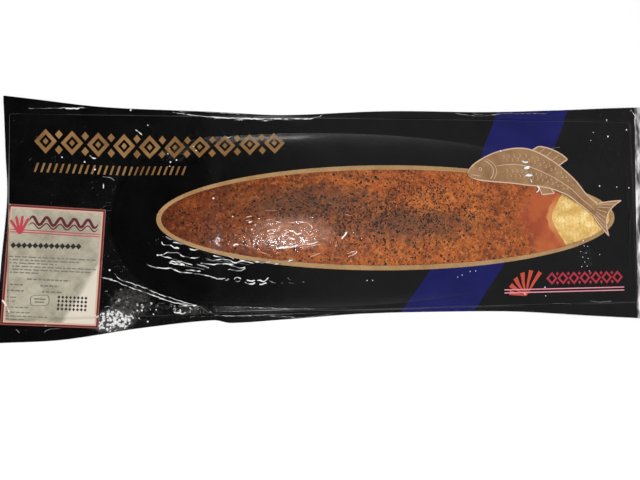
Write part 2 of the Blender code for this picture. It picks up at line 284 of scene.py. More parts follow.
def ridge(x, y, line, height, width):
    """A sharp fold along a line of points in millimetres, fading at both ends."""
    best = np.zeros_like(x)
    total = sum(math.dist(a, b) for a, b in zip(line, line[1:]))
    gone = 0.0
    for (x0, y0), (x1, y1) in zip(line, line[1:]):
        long = math.dist((x0, y0), (x1, y1))
        along = ((x / MM - x0) * (x1 - x0) + (y / MM - y0) * (y1 - y0)) / long**2
        t = np.clip(along, 0, 1)
        away = np.hypot(x / MM - mix(x0, x1, t), y / MM - mix(y0, y1, t))
        ends = np.sin(np.pi * np.clip((gone + t * long) / total, 0, 1)) ** 0.5
        best = np.maximum(best, ends * np.exp(-((away / width) ** 2)))
        gone += long
    return best * height * MM


print("a spot's middle and edge:", [float(spot(out * MM, 0, 0, 0, 5, 5)) for out in (0, 5)])

# %% Where the film is folded, crackled and pimpled, in millimetres
FOLD_RELIEF = [
    ([(-229, -56), (-204, -65), (-165, -81), (-144, -85)], 0.9, 1.2),
    ([(-218, -52), (-213, -58), (-156, -80), (-129, -93)], 0.5, 1.0),
    ([(-165, 100), (-132, 96), (-83, 94), (-33, 95), (-20, 100)], 0.5, 1.0),
    ([(-295, 102), (-267, 102.5), (-242, 103.4)], 0.3, 0.9),
    ([(-226, 47), (-224, 36)], 0.3, 1.0),
    ([(-230, 52), (-219, 50), (-210, 44)], 0.35, 0.9),
    ([(-190, 87), (-181, 80)], 0.3, 0.9),
    ([(296, -62), (300, 0), (297, 70)], 0.5, 1.3),
]
CRACKLES = [
    (-222, -97, 27, 14, 1.0),
    (-203, -80, 32, 24, 0.4),
    (-160, 60, 24, 18, 0.3),
    (-150, -88, 30, 9, 0.3),
    (-112, 76, 16, 10, 0.2),
    (-248, 53, 28, 14, 0.16),
    (250, -46, 15, 20, 0.2),
    (281, 60, 34, 40, 0.16),
    (-150, -34, 45, 22, 0.12),
]
PIMPLE_FIELDS = [
    (-150, 62, 45, 20, 26),
    (270, 55, 24, 34, 22),
    (235, -55, 12, 22, 14),
    (-170, -84, 26, 8, 12),
]
print("folds, crackled patches, pimple fields:", len(FOLD_RELIEF), len(CRACKLES), len(PIMPLE_FIELDS))

# %% The relief of the creases
LOOSE_END, LOOSE_START = 14 * MM, 2 * MM
SLACK, SLACK_SIZE = 0.13, 19 * MM
FINE_SLACK, FINE_SLACK_SIZE = 0.035, 6 * MM
CRUMPLE, CRUMPLE_SIZE = 0.3, 3.2 * MM
RIPPLE, RIPPLE_SLANT, RIPPLE_PITCH = 0.3, 0.35, 9.5 * MM
PIMPLE_SEED, PIMPLE_SPREAD = 11, 0.6
PIMPLE_HALF_WIDTHS, PIMPLE_HEIGHTS = (0.8, 1.7), (0.2, 0.45)
FAR_FROM_PIMPLE = 30
STRAY_X, STRAY_X_SIZE = 1.6 * MM, 8 * MM
STRAY_Y, STRAY_Y_SIZE = 1.3 * MM, 7 * MM


def in_label(x, y):
    """The label's own across and up, for a place in plan."""
    c, d = math.cos(LABEL_TURN), math.sin(LABEL_TURN)
    return (x - LABEL_X) * c + (y - LABEL_Y) * d, -(x - LABEL_X) * d + (y - LABEL_Y) * c


def beside_label(x, y):
    """0 under the label, where the film is held flat, and 1 away from it."""
    s, t = in_label(x, y)
    outside = np.maximum(np.abs(s) - LABEL_HALF_WIDTH, np.abs(t) - LABEL_HALF_HEIGHT)
    return smooth_step(-2 * MM, 1 * MM, outside)


def creases(x, y):
    """The relief of the folds on the smooth form; nothing at the pack's very edge."""
    loose, held = smooth_step(LOOSE_END, LOOSE_START, beyond_board(x, y)), beside_label(x, y)
    waves = np.sin(2 * np.pi * (y + RIPPLE_SLANT * x) / RIPPLE_PITCH)
    tail_ripple = RIPPLE * spot(x, y, 188, 42, 17, 24) * waves
    slack = SLACK * lumps(x, y, SLACK_SIZE, seed=6) + FINE_SLACK * lumps(x, y, FINE_SLACK_SIZE, seed=7)
    rough = CRUMPLE * np.abs(lumps(x, y, CRUMPLE_SIZE, seed=8)) - 0.1
    total = (slack + spot(x, y, -222, -89, 26, 19) * rough + tail_ripple) * MM
    x = x + STRAY_X * lumps(x, y, STRAY_X_SIZE, seed=9)
    y = y + STRAY_Y * lumps(x, y, STRAY_Y_SIZE, seed=10)
    for line, height, width in FOLD_RELIEF:
        total += ridge(x, y, line, height, width)
    return total * loose * held


def pimples(x, y):
    """Small domes of caught air, strewn by a seeded rule over a few fields."""
    source = np.random.default_rng(PIMPLE_SEED)
    total = np.zeros_like(x)
    for middle_x, middle_y, half_x, half_y, count in PIMPLE_FIELDS:
        for _ in range(count):
            px = middle_x + half_x * source.normal() * PIMPLE_SPREAD
            py = middle_y + half_y * source.normal() * PIMPLE_SPREAD
            wide, high = source.uniform(*PIMPLE_HALF_WIDTHS), source.uniform(*PIMPLE_HEIGHTS)
            away = ((x / MM - px) ** 2 + (y / MM - py) ** 2) / wide**2
            total += high * MM * np.exp(-np.minimum(away, FAR_FROM_PIMPLE))
    return total


on_long_fold = creases(np.array(-184.5 * MM), np.array(-73.0 * MM))
print("relief on the long fold by the label, mm:", round(float(on_long_fold) / MM, 2))

# %% The film's whole surface, and how crackled it is
END_FALL, END_OF_SEAL, END_HALF_WIDTH = 2.2 * MM, 322 * MM, 100 * MM
CRACKLED, CRACKLED_AT_TAIL = 0.02, 0.03


def right_slope(x, y):
    """At the tail end the film falls straight from the board to the seal's edge."""
    fall = END_FALL * (END_OF_SEAL - x) / (END_OF_SEAL - BOARD_RIGHT)
    off_board = smooth_step(LEDGE_START, LEDGE_END, x - BOARD_RIGHT)
    return np.maximum(fall, 0.0) * off_board * (1 - smooth_step(0.85, 1.0, np.abs(y) / END_HALF_WIDTH))


def film_surface(x, y):
    return film_height(x, y) + creases(x, y) + pimples(x, y) + right_slope(x, y)


def crackle_strength(x, y):
    """How crackled the film is, from 0 to 1, in the patches where it was crumpled when it was packed."""
    fields = CRACKLED + CRACKLED_AT_TAIL * smooth_step(200 * MM, 240 * MM, x)
    for middle_x, middle_y, half_x, half_y, strength in CRACKLES:
        fields = fields + strength * spot(x, y, middle_x, middle_y, half_x, half_y)
    return np.clip(fields, 0.0, 1.0) * beside_label(x, y)


by_label = crackle_strength(np.array(-222 * MM), np.array(-97 * MM))
print("crackle below the label's corner:", round(float(by_label), 2))

# %% [markdown]
# ## Colours
#
# The colours are noted as they look in the photograph, from 0 to 255, and turned into the linear light
# that shaders count in. A small helper adds one shader node and plugs in its inputs.


# %% A colour, a finish and its nodes
def seen(red, green, blue):
    """A colour as seen on a screen, turned into linear light."""
    parts = [channel / 255 for channel in (red, green, blue)]
    return tuple(p / 12.92 if p <= 0.04045 else ((p + 0.055) / 1.055) ** 2.4 for p in parts)


def finish(name, colour, roughness, level=0.5):
    material = bpy.data.materials.new(name)
    material.use_nodes = True
    shader = surface_shader(material)
    shader.inputs["Base Color"].default_value = (*colour, 1)
    shader.inputs["Roughness"].default_value = roughness
    shader.inputs["Specular IOR Level"].default_value = level
    print("finish:", name)
    return material


def surface_shader(material):
    return material.node_tree.nodes["Principled BSDF"]


def node(material, kind, inputs, **settings):
    made = material.node_tree.nodes.new("ShaderNode" + kind)
    for key, value in settings.items():
        setattr(made, key, value)
    for key, value in inputs.items():
        plug(material, made, key, value)
    return made


def plug(material, made, key, value):
    if isinstance(value, bpy.types.NodeSocket):
        material.node_tree.links.new(value, made.inputs[key])
    else:
        made.inputs[key].default_value = value


# %% Sums, places and patterns for a finish
def calc(material, operation, *values, clamp=False):
    made = node(material, "Math", dict(enumerate(values)), operation=operation)
    made.use_clamp = clamp
    return made.outputs[0]


def vector_calc(material, operation, a, b, out="Vector"):
    return node(material, "VectorMath", {0: a, 1: b}, operation=operation).outputs[out]


def fade(material, value, start, full, low=0.0, high=1.0):
    """A value that goes evenly from low at start to high at full, and stays level beyond both."""
    return node(material, "MapRange", {0: value, 1: start, 2: full, 3: low, 4: high}).outputs[0]


def place(material):
    return node(material, "TexCoord", {}).outputs["Object"]


def x_and_y(material):
    split = node(material, "SeparateXYZ", {"Vector": place(material)})
    return split.outputs["X"], split.outputs["Y"]


def kept_value(material, name):
    """A value that is kept at each corner of a mesh."""
    return node(material, "Attribute", {}, attribute_name=name).outputs["Fac"]


def noise(material, where, scale, detail=3.0, roughness=0.55):
    inputs = {"Vector": where, "Scale": scale, "Detail": detail, "Roughness": roughness}
    return node(material, "TexNoise", inputs).outputs["Fac"]


def ramp(material, value, *stops):
    """A colour ramp from (place, colour) stops."""
    made = node(material, "ValToRGB", {"Fac": value})
    for k, (at, colour) in enumerate(stops):
        stop = made.color_ramp.elements[k] if k < 2 else made.color_ramp.elements.new(at)
        stop.position = at
        stop.color = (*colour, 1)
    return made.outputs["Color"]


def blend(material, share, below, above):
    """A colour between two others; each may be a fixed colour or another node's colour."""
    made = node(material, "Mix", {0: share}, data_type="RGBA")
    for key, value in ((6, below), (7, above)):
        plug(material, made, key, (*value, 1) if isinstance(value, tuple) else value)
    return made.outputs[2]


def bump(material, height, distance, strength=1.0):
    made = node(material, "Bump", {"Height": height, "Distance": distance, "Strength": strength})
    plug(material, surface_shader(material), "Normal", made.outputs["Normal"])


def paint(material, colour):
    plug(material, surface_shader(material), "Base Color", colour)


print("middle grey of a screen in linear light:", round(seen(128, 128, 128)[0], 3))


# %% [markdown]
# ## The printed film's finish
#
# The print is a near-black ink under a glossy film, with one blue band that runs across the pack at a
# slant. The band could be its own piece, but ink has no edge that can be felt, so the shader draws it:
# the distance of a point from the band's slightly bent middle line, compared with half the band's width.
# At the tail end the print stops a few millimetres short of the edge. The bare strip there is painted in
# white streaks, a painted reflection of the film's slope there, and the same kind of measure finds it.

# %% Black ink and the blue band
BAND_X, BAND_SLANT, BAND_BEND = 148 * MM, 0.53, -0.5
BAND_HALF_WIDTH, PRINT_EDGE = 38 * MM, 0.5 * MM

printed_ink = finish("printed_ink", seen(15, 15, 15), 0.16)
here = place(printed_ink)
x_here, y_here = x_and_y(printed_ink)
bent = calc(printed_ink, "MULTIPLY", calc(printed_ink, "MULTIPLY", y_here, y_here), BAND_BEND)
middle = calc(printed_ink, "ADD", calc(printed_ink, "MULTIPLY_ADD", y_here, BAND_SLANT, BAND_X), bent)
from_middle = calc(printed_ink, "ABSOLUTE", calc(printed_ink, "SUBTRACT", x_here, middle))
inside_band = calc(printed_ink, "SUBTRACT", BAND_HALF_WIDTH, from_middle)
in_band = calc(printed_ink, "ADD", calc(printed_ink, "DIVIDE", inside_band, PRINT_EDGE), 0.5, clamp=True)
cloud = noise(printed_ink, here, 38.0, 4.0, 0.6)
black = ramp(printed_ink, cloud, (0.3, seen(3, 3, 3)), (0.75, seen(11, 11, 11)))
blue = ramp(printed_ink, cloud, (0.3, seen(5, 9, 74)), (0.75, seen(17, 19, 90)))
print_tone = blend(printed_ink, in_band, black, blue)
print("printed film: black ink, blue band", round(2 * BAND_HALF_WIDTH / MM), "mm wide")

# %% The bare strip at the tail end, with a painted reflection
MARGIN_X, MARGIN_SLANT = 308.6 * MM, 0.028
STREAK_SHAPE, STREAK_SCALE = (3, 0.6, 0), 60.0
STREAK_REFLECTION_TONES = (0.38, seen(62, 60, 60)), (0.5, seen(170, 166, 166)), (0.6, seen(236, 234, 236))
print_end = calc(printed_ink, "MULTIPLY_ADD", y_here, MARGIN_SLANT, MARGIN_X)
past_print = calc(printed_ink, "SUBTRACT", x_here, print_end)
margin = calc(printed_ink, "DIVIDE", past_print, PRINT_EDGE, clamp=True)
reflection_streaks = noise(printed_ink, vector_calc(printed_ink, "MULTIPLY", here, STREAK_SHAPE), STREAK_SCALE)
# The bare strip is painted in grey and white streaks: a painted reflection.
print_tone = blend(printed_ink, margin, print_tone, ramp(printed_ink, reflection_streaks, *STREAK_REFLECTION_TONES))
print("the print ends at x =", round(MARGIN_X / MM, 1), "mm")

# %% [markdown]
# Where the film is crackled it is broken into facets of two or three millimetres, each tipped its own way,
# and the few that face a lamp flash white. A Voronoi texture gives each cell a random colour. Read as a
# slope and multiplied with the way from the cell's middle, that colour becomes a tipped plane. How
# strong the crackle is at a place is kept on the mesh as an attribute.

# %% Crackle as tipped facets
FACET_SCALE, FACET_SLOPE = 420.0, 0.8
FINE_SCALE, FINE_HEIGHT = 420.0, 0.00005
cells = node(printed_ink, "TexVoronoi", {"Vector": here, "Scale": FACET_SCALE})
away = vector_calc(printed_ink, "SUBTRACT", here, cells.outputs["Position"])
tip = vector_calc(printed_ink, "SUBTRACT", cells.outputs["Color"], (0.5, 0.5, 0.5))
tipped = vector_calc(printed_ink, "DOT_PRODUCT", away, tip, "Value")
strength = kept_value(printed_ink, "crackle")
facet = calc(printed_ink, "MULTIPLY", calc(printed_ink, "MULTIPLY", tipped, strength), FACET_SLOPE)
fine = noise(printed_ink, here, FINE_SCALE, 2.0, 0.5)
bump(printed_ink, calc(printed_ink, "MULTIPLY_ADD", fine, FINE_HEIGHT, facet), 1.0)
print("facets of about", round(1 / FACET_SCALE / MM, 1), "mm")

# %% [markdown]
# Where the crackle is strong, some facets are painted white, as painted glints of the crinkled film, and
# round them the ink is greyer in patches. These could be strewn pieces, but the ink has no thickness to
# speak of, so the shader picks them: the same random colour of a cell says which facets are white, and
# noise says where the ink is greyer. Both grow with the strength of the crackle.

# %% Painted glints on facets, and greyer patches
GLINT_GAIN, GLINT_START = 1.6, -0.72
CORE_OUT, CORE_IN = 0.7, 0.5
GREY_PATCH_SCALE, GREY_PATCH_START, GREY_PATCH_FULL, GREY_PATCH_MOST = 330.0, 0.12, 0.32, 0.6
draw_of_cell = node(printed_ink, "SeparateXYZ", {"Vector": cells.outputs["Color"]}).outputs["Z"]
chance = calc(printed_ink, "MULTIPLY_ADD", strength, GLINT_GAIN, GLINT_START)
cell_core = fade(printed_ink, cells.outputs["Distance"], CORE_OUT, CORE_IN)
# A facet picked here is painted white: a painted glint.
painted_glint_facets = calc(printed_ink, "MULTIPLY", calc(printed_ink, "LESS_THAN", draw_of_cell, chance), cell_core)
greyer_patches = calc(printed_ink, "MULTIPLY", strength, noise(printed_ink, here, GREY_PATCH_SCALE, 3.0, 0.6))
greyer_patches = fade(printed_ink, greyer_patches, GREY_PATCH_START, GREY_PATCH_FULL, high=GREY_PATCH_MOST)
print_tone = blend(printed_ink, greyer_patches, print_tone, seen(96, 94, 92))
paint(printed_ink, blend(printed_ink, painted_glint_facets, print_tone, seen(225, 225, 225)))
print("facets can be bare where the crackle is over", round(-GLINT_START / GLINT_GAIN, 2))

# %% [markdown]
# ## The gold ring's finish
#
# A tan gold line is printed round the window. It is ink too, so it is a set of faces of the same film
# with another finish: a little rough, with fine flecks as metallic ink has.

# %% Tan gold ink
gold_ink = finish("gold_ink", seen(150, 116, 74), 0.3)
fleck = noise(gold_ink, place(gold_ink), 900.0, 2.0)
drift = noise(gold_ink, place(gold_ink), 45.0, 3.0)
gold = ramp(gold_ink, drift, (0.3, seen(146, 108, 66)), (0.7, seen(170, 134, 92)))
fleck_share = ramp(gold_ink, fleck, (0.45, (0, 0, 0)), (0.7, (0.3, 0.3, 0.3)))
paint(gold_ink, blend(gold_ink, fleck_share, gold, seen(205, 180, 140)))
bump(gold_ink, fleck, 0.00006, 0.5)

# %% [markdown]
# ## The printed film
#
# The sheet is a ring: its inner edge is the window's rim, its outer edge the pack's outline. Two circles
# are bridged with many cuts, and then each corner is laid in its place: how far out it is picks the line
# between rim and outline, and its angle picks the spot along them. The corners of the pack fall on
# corners of the mesh, so the outline stays sharp.

# %% A ring sheet, and where its corners are
FILM_COLUMNS = 1050
SIDE_SHARE = 0.16
RING_WIDTH = 4.5 * MM
RING_ROWS, PANEL_ROWS, SEAL_ROWS = 4, 72, 14
FILM_ROWS = RING_ROWS + PANEL_ROWS + SEAL_ROWS
UNDER_ROWS = 14
JUST_PAST = 1e-7


def ring_sheet(columns, rows):
    """Two circles, of radius 1 and 2, with a band of square faces between them."""
    deselect()
    bpy.ops.mesh.primitive_circle_add(vertices=columns, radius=1)
    edit("EDGE")
    bpy.ops.mesh.primitive_circle_add(vertices=columns, radius=2)
    bpy.ops.mesh.select_all(action="SELECT")
    bpy.ops.mesh.bridge_edge_loops(number_cuts=rows - 1, interpolation="LINEAR")
    done()
    return bpy.context.object


def unroll(piece, rows):
    """The row and the window angle of each corner of a ring sheet."""
    flat = corners(piece)
    row = np.round((np.hypot(flat[:, 0], flat[:, 1]) - 1) * rows)
    turn = (np.arctan2(flat[:, 1], flat[:, 0]) / (2 * np.pi) + SIDE_SHARE / 2 + JUST_PAST) % 1.0
    at = [0, SIDE_SHARE, 0.5, 0.5 + SIDE_SHARE, 1]
    half, corner = np.pi, CORNER_ANGLE
    angle = np.interp(turn, at, [-corner, corner, half - corner, half + corner, 2 * half - corner])
    return row, angle


print("the film's ring sheet:", FILM_ROWS, "rows of", FILM_COLUMNS, "faces")


# %% Lines from the window to the outline
def along_x(share, left, right):
    middle = (left + right) / 2
    return middle + share * (right - left) / 2 + (WINDOW_X - middle) * (1 - share * share)


def outline_point(angle):
    wide = np.cos(angle) / math.cos(CORNER_ANGLE)
    high = np.clip(np.sin(angle) / math.sin(CORNER_ANGLE), -1, 1)
    at_side = np.abs(np.sin(angle)) <= math.sin(CORNER_ANGLE)
    wide = np.clip(wide, -1, 1)
    sides = []
    for left, knots in ((True, LEFT_EDGE), (False, RIGHT_EDGE)):
        y = mix(knots[0][0] * MM, knots[-1][0] * MM, (high + 1) / 2)
        sides.append((through(knots, y), y))
    longs = []
    for knots in (TOP_EDGE, BOTTOM_EDGE):
        x = along_x(wide, knots[0][0] * MM, knots[-1][0] * MM)
        longs.append((x, through(knots, x)))
    picks = [np.where(np.cos(angle) < 0, sides[0][k], sides[1][k]) for k in (0, 1)]
    longs = [np.where(np.sin(angle) > 0, longs[0][k], longs[1][k]) for k in (0, 1)]
    return [np.where(at_side, picks[k], longs[k]) for k in (0, 1)]


def board_point(angle, grow):
    left, right, low, high = BOARD_LEFT - grow, BOARD_RIGHT + grow, BOARD_LOW - grow, BOARD_HIGH + grow
    at_side = np.abs(np.sin(angle)) <= math.sin(CORNER_ANGLE)
    up = (np.clip(np.sin(angle) / math.sin(CORNER_ANGLE), -1, 1) + 1) / 2
    wide = np.clip(np.cos(angle) / math.cos(CORNER_ANGLE), -1, 1)
    x = np.where(at_side, np.where(np.cos(angle) < 0, left, right), along_x(wide, left, right))
    y = np.where(at_side, mix(low, high, up), np.where(np.sin(angle) > 0, high, low))
    return x, y


def window_point(angle, grow):
    x = WINDOW_X + (WINDOW_HALF_LENGTH + grow) * np.cos(angle)
    return x, WINDOW_Y + (WINDOW_HALF_WIDTH + grow) * np.sin(angle)


print("right end of the outline, mm:", [round(float(v) / MM, 1) for v in outline_point(np.array(0.0))])

# %% Bridge the ring and lay it on the pack
film = ring_sheet(FILM_COLUMNS, FILM_ROWS)
row, angle = unroll(film, FILM_ROWS)
print("ring sheet:", len(film.data.vertices), "corners, rows", int(row.max()) + 1)

ring_share = np.clip(row / RING_ROWS, 0, 1)
panel_share = np.clip((row - RING_ROWS) / PANEL_ROWS, 0, 1)
seal_share = np.clip((row - RING_ROWS - PANEL_ROWS) / SEAL_ROWS, 0, 1)
rim = window_point(angle, RING_WIDTH * ring_share)
ledge = board_point(angle, LEDGE_START)
edge = outline_point(angle)
film_x, film_y = (mix(mix(rim[k], ledge[k], panel_share), edge[k], seal_share) for k in (0, 1))
move_corners(film, film_x, film_y, film_surface(film_x, film_y))

# %% The gold ring's faces, and a finished front
film = take("printed_film", printed_ink, gold_ink)
face_up(film)
only(film)
bpy.ops.object.shade_smooth()
starts = np.empty(len(film.data.polygons), int)
film.data.polygons.foreach_get("loop_start", starts)
loops = np.empty(len(film.data.loops), int)
film.data.loops.foreach_get("vertex_index", loops)
face_rows = row[loops[starts[:, None] + np.arange(4)]].max(axis=1)
film.data.polygons.foreach_set("material_index", (face_rows <= RING_ROWS).astype(int))
crackle = film.data.attributes.new("crackle", "FLOAT", "POINT")
crackle.data.foreach_set("value", crackle_strength(film_x, film_y))
place_on(film, "printed_film", "pouch")

# %% [markdown]
# ## The back of the pouch
#
# The back film lies flat on the table under the board and rises a little at the sealed edge, where it is
# welded to the front. It is a second ring sheet: down over the cut edge, then inwards to a flat middle.

# %% Plain black film with a ribbed seal
back_ink = finish("back_ink", seen(30, 30, 31), 0.24)
back_place = place(back_ink)
back_cloud = noise(back_ink, back_place, 30.0, 4.0)
back_black = ramp(back_ink, back_cloud, (0.3, seen(14, 14, 14)), (0.75, seen(28, 28, 28)))
paint(back_ink, back_black)
bump(back_ink, noise(back_ink, back_place, 160.0, 3.0), 0.0003, 0.6)

# %% Model the back
WALL_ROWS = 2
BACK_INSET, BACK_CROWDING = 30 * MM, 1.5
back = ring_sheet(FILM_COLUMNS, UNDER_ROWS)
row, angle = unroll(back, UNDER_ROWS)
wall_share = np.clip(row / WALL_ROWS, 0, 1)
under_share = np.clip((row - WALL_ROWS) / (UNDER_ROWS - WALL_ROWS), 0, 1)
edge = outline_point(angle)
inner = board_point(angle, -BACK_INSET)
back_x, back_y = (mix(edge[k], inner[k], under_share**BACK_CROWDING) for k in (0, 1))
over, under = film_surface(back_x, back_y), seal_lift(back_x, back_y)
move_corners(back, back_x, back_y, np.where(row <= WALL_ROWS, mix(over, under, wall_share), under))

# %% Close the flat middle of the back
only(back)
edit("VERT")
bpy.ops.mesh.select_all(action="DESELECT")
done()
back.data.vertices.foreach_set("select", row == UNDER_ROWS)
bpy.ops.object.mode_set(mode="EDIT")
bpy.ops.mesh.edge_face_add()
bpy.ops.mesh.select_mode(type="FACE")
bpy.ops.mesh.poke()
done()
back = take("back_film", back_ink)
edit()
bpy.ops.mesh.normals_make_consistent(inside=False)
done()
bpy.ops.object.shade_smooth()
place_on(back, "printed_film", "pouch")

# %% [markdown]
# ## The clear window
#
# The window is the same film without ink. Clear film can be made as glass, but a skin this thin bends no
# light, so it is see-through, with a mirror laid over it whose strength grows at a glancing view. The
# vacuum has crumpled it over the shoulder, where it is slack, and that is relief in the sheet.

# %% See-through film that mirrors a little
FACE_ON_MIRROR, GLANCE_POWER = 0.05, 5.0
clear_film = bpy.data.materials.new("clear_film")
clear_film.use_nodes = True
clear_film.node_tree.nodes.remove(surface_shader(clear_film))
clear_relief = noise(clear_film, place(clear_film), 330.0, 3.0, 0.6)
clear_bump = node(clear_film, "Bump", {"Height": clear_relief, "Distance": 0.0002, "Strength": 0.8})
clear_normal = clear_bump.outputs[0]
facing = node(clear_film, "LayerWeight", {"Blend": 0.5, "Normal": clear_normal}).outputs["Facing"]
mirror = fade(clear_film, calc(clear_film, "POWER", facing, GLANCE_POWER), 0.0, 1.0, FACE_ON_MIRROR)
gloss = node(clear_film, "BsdfGlossy", {"Roughness": 0.11, "Normal": clear_normal, "Color": (1, 1, 1, 1)})
see_through = node(clear_film, "BsdfTransparent", {"Color": (0.985, 0.975, 0.96, 1)})
clear_mix = node(clear_film, "MixShader", {0: mirror, 1: see_through.outputs[0], 2: gloss.outputs[0]})
print("seen straight on, the clear film mirrors", round(100 * FACE_ON_MIRROR), "percent")

# %% [markdown]
# Over the shoulder the film is also stretched and crumpled, and it mirrors the lamps as a pale pinkish
# sheen. Thousands of fine folds would show the same, but one soft zone is enough: an oval where the sheet
# turns partly into a pale diffuse colour, a painted sheen, broken up by noise.

# %% The oval of painted sheen
SHEEN_MIDDLE, SHEEN_HALF, SHEEN_MOST = (-54 * MM, -17 * MM), (50 * MM, 19 * MM), 0.42
squares = []
for here_along, middle, half in zip(x_and_y(clear_film), SHEEN_MIDDLE, SHEEN_HALF):
    away = calc(clear_film, "DIVIDE", calc(clear_film, "SUBTRACT", here_along, middle), half)
    squares.append(calc(clear_film, "MULTIPLY", away, away))
in_sheen = calc(clear_film, "SUBTRACT", 1.0, calc(clear_film, "ADD", *squares), clamp=True)
in_sheen = calc(clear_film, "MULTIPLY", in_sheen, noise(clear_film, place(clear_film), 110.0, 4.0, 0.65))
sheen_share = fade(clear_film, in_sheen, 0.1, 0.55, high=SHEEN_MOST)
# The pale pink diffuse colour is a painted sheen of the lamps on the crumpled film.
painted_sheen = node(clear_film, "BsdfDiffuse", {"Color": (*seen(214, 158, 134), 1)})
with_sheen = node(clear_film, "MixShader", {0: sheen_share, 1: clear_mix.outputs[0], 2: painted_sheen.outputs[0]})
clear_out = next(n for n in clear_film.node_tree.nodes if n.type == "OUTPUT_MATERIAL")
plug(clear_film, clear_out, "Surface", with_sheen.outputs[0])
print("cloudy oval:", round(2 * SHEEN_HALF[0] / MM), "x", round(2 * SHEEN_HALF[1] / MM), "mm")

# %% The crumpled patch, and the sheet
CLEAR_COLUMNS, CLEAR_ROWS = 460, 104
UNDER_INK = 1.0 * MM
CLEAR_SINK = 0.12 * MM
SHARP, SHARP_SIZE, SHARP_SQUASH = 0.3, 9 * MM, 1.6
ROUND, ROUND_SIZE = 0.14, 3.5 * MM


def crumple(x, y):
    patch = spot(x, y, -52, -14, 44, 19) + 0.7 * spot(x, y, 20, -20, 30, 12)
    sharp = 1 - np.abs(lumps(x, y * SHARP_SQUASH, SHARP_SIZE, seed=21)) * 2
    return patch * (SHARP * sharp + ROUND * lumps(x, y, ROUND_SIZE, seed=22)) * MM


def squeezed_grid(columns, rows):
    """A square grid, and its corners' places from -1 to 1 both ways."""
    deselect()
    bpy.ops.mesh.primitive_grid_add(x_subdivisions=columns, y_subdivisions=rows, size=2)
    piece = bpy.context.object
    flat = corners(piece)
    return piece, flat[:, 0].copy(), flat[:, 1].copy()


window, u, v = squeezed_grid(CLEAR_COLUMNS, CLEAR_ROWS)
window_x = WINDOW_X + (WINDOW_HALF_LENGTH + UNDER_INK) * u * np.sqrt(1 - v * v / 2)
window_y = WINDOW_Y + (WINDOW_HALF_WIDTH + UNDER_INK) * v * np.sqrt(1 - u * u / 2)
window_z = film_surface(window_x, window_y) + crumple(window_x, window_y) - CLEAR_SINK
move_corners(window, window_x, window_y, window_z)
window = take("clear_window", clear_film)
bpy.ops.object.shade_smooth()
place_on(window, "clear_film", "window_film")

# %% [markdown]
# ## The salmon's flesh
#
# Smoked flesh is orange where it is clean, redder towards the shoulder, and brown-grey along the middle,
# where most of the spice lies. Near the cut tail there is no spice: the flesh is plain and pink, and it
# thins out to a pale edge. The zones come from the object's own coordinates, and finer noise breaks
# them up into grain.

# %% Clean meat, and red meat to the shoulder
flesh = finish("flesh", seen(190, 98, 48), 0.42, 0.3)
here = place(flesh)
x_here, y_here = x_and_y(flesh)
patches = noise(flesh, here, 26.0, 5.0, 0.62)
CLEAN_TONES = (0.32, seen(136, 60, 20)), (0.5, seen(164, 82, 28)), (0.68, seen(186, 102, 38))
RED_TONES = (0.35, seen(96, 40, 17)), (0.65, seen(124, 58, 26))
to_shoulder = fade(flesh, x_here, 0.03, -0.12)
meat = blend(flesh, to_shoulder, ramp(flesh, patches, *CLEAN_TONES), ramp(flesh, patches, *RED_TONES))

# %% Blotches and grain, calmer towards the shoulder
grain = noise(flesh, here, 300.0, 4.0, 0.7)
blotch = noise(flesh, here, 130.0, 5.0, 0.68)
lively = fade(flesh, x_here, -0.13, -0.05, 0.45)
SPECKS = (
    (blotch, 0.51, 0.6, 0.7, lively, seen(90, 44, 18)),
    (blotch, 0.46, 0.34, 0.5, lively, seen(204, 116, 50)),
    (grain, 0.54, 0.66, 0.75, 1.0, seen(62, 30, 14)),
    (grain, 0.46, 0.34, 0.55, lively, seen(214, 142, 80)),
)
for pattern, start, full, most, calmed, tone in SPECKS:
    share = calc(flesh, "MULTIPLY", fade(flesh, pattern, start, full, high=most), calmed)
    meat = blend(flesh, share, meat, tone)
print("flesh: two meats and", len(SPECKS), "kinds of specks")

# %% Brown where the spice was rubbed in
def oval_zone(material, middle_x, middle_y, half_x, half_y):
    """1 in the middle of an oval, 0 at its edge, from Object coordinates."""
    across = calc(material, "DIVIDE", calc(material, "SUBTRACT", x_here, middle_x * MM), half_x * MM)
    up = calc(material, "DIVIDE", calc(material, "SUBTRACT", y_here, middle_y * MM), half_y * MM)
    squares = [calc(material, "MULTIPLY", away, away) for away in (across, up)]
    reach = calc(material, "SQRT", calc(material, "ADD", *squares))
    return calc(material, "SUBTRACT", 1.0, reach, clamp=True)


RUB_OVALS = ((-35, 8, 95, 26), (60, -12, 95, 22))
rub = calc(flesh, "MAXIMUM", *(oval_zone(flesh, *oval) for oval in RUB_OVALS))
rub = calc(flesh, "MULTIPLY", rub, noise(flesh, here, 70.0, 4.0, 0.7))
meat = blend(flesh, fade(flesh, rub, 0.05, 0.34, high=0.68), meat, seen(92, 62, 44))
print("brown ovals, mm:", RUB_OVALS)

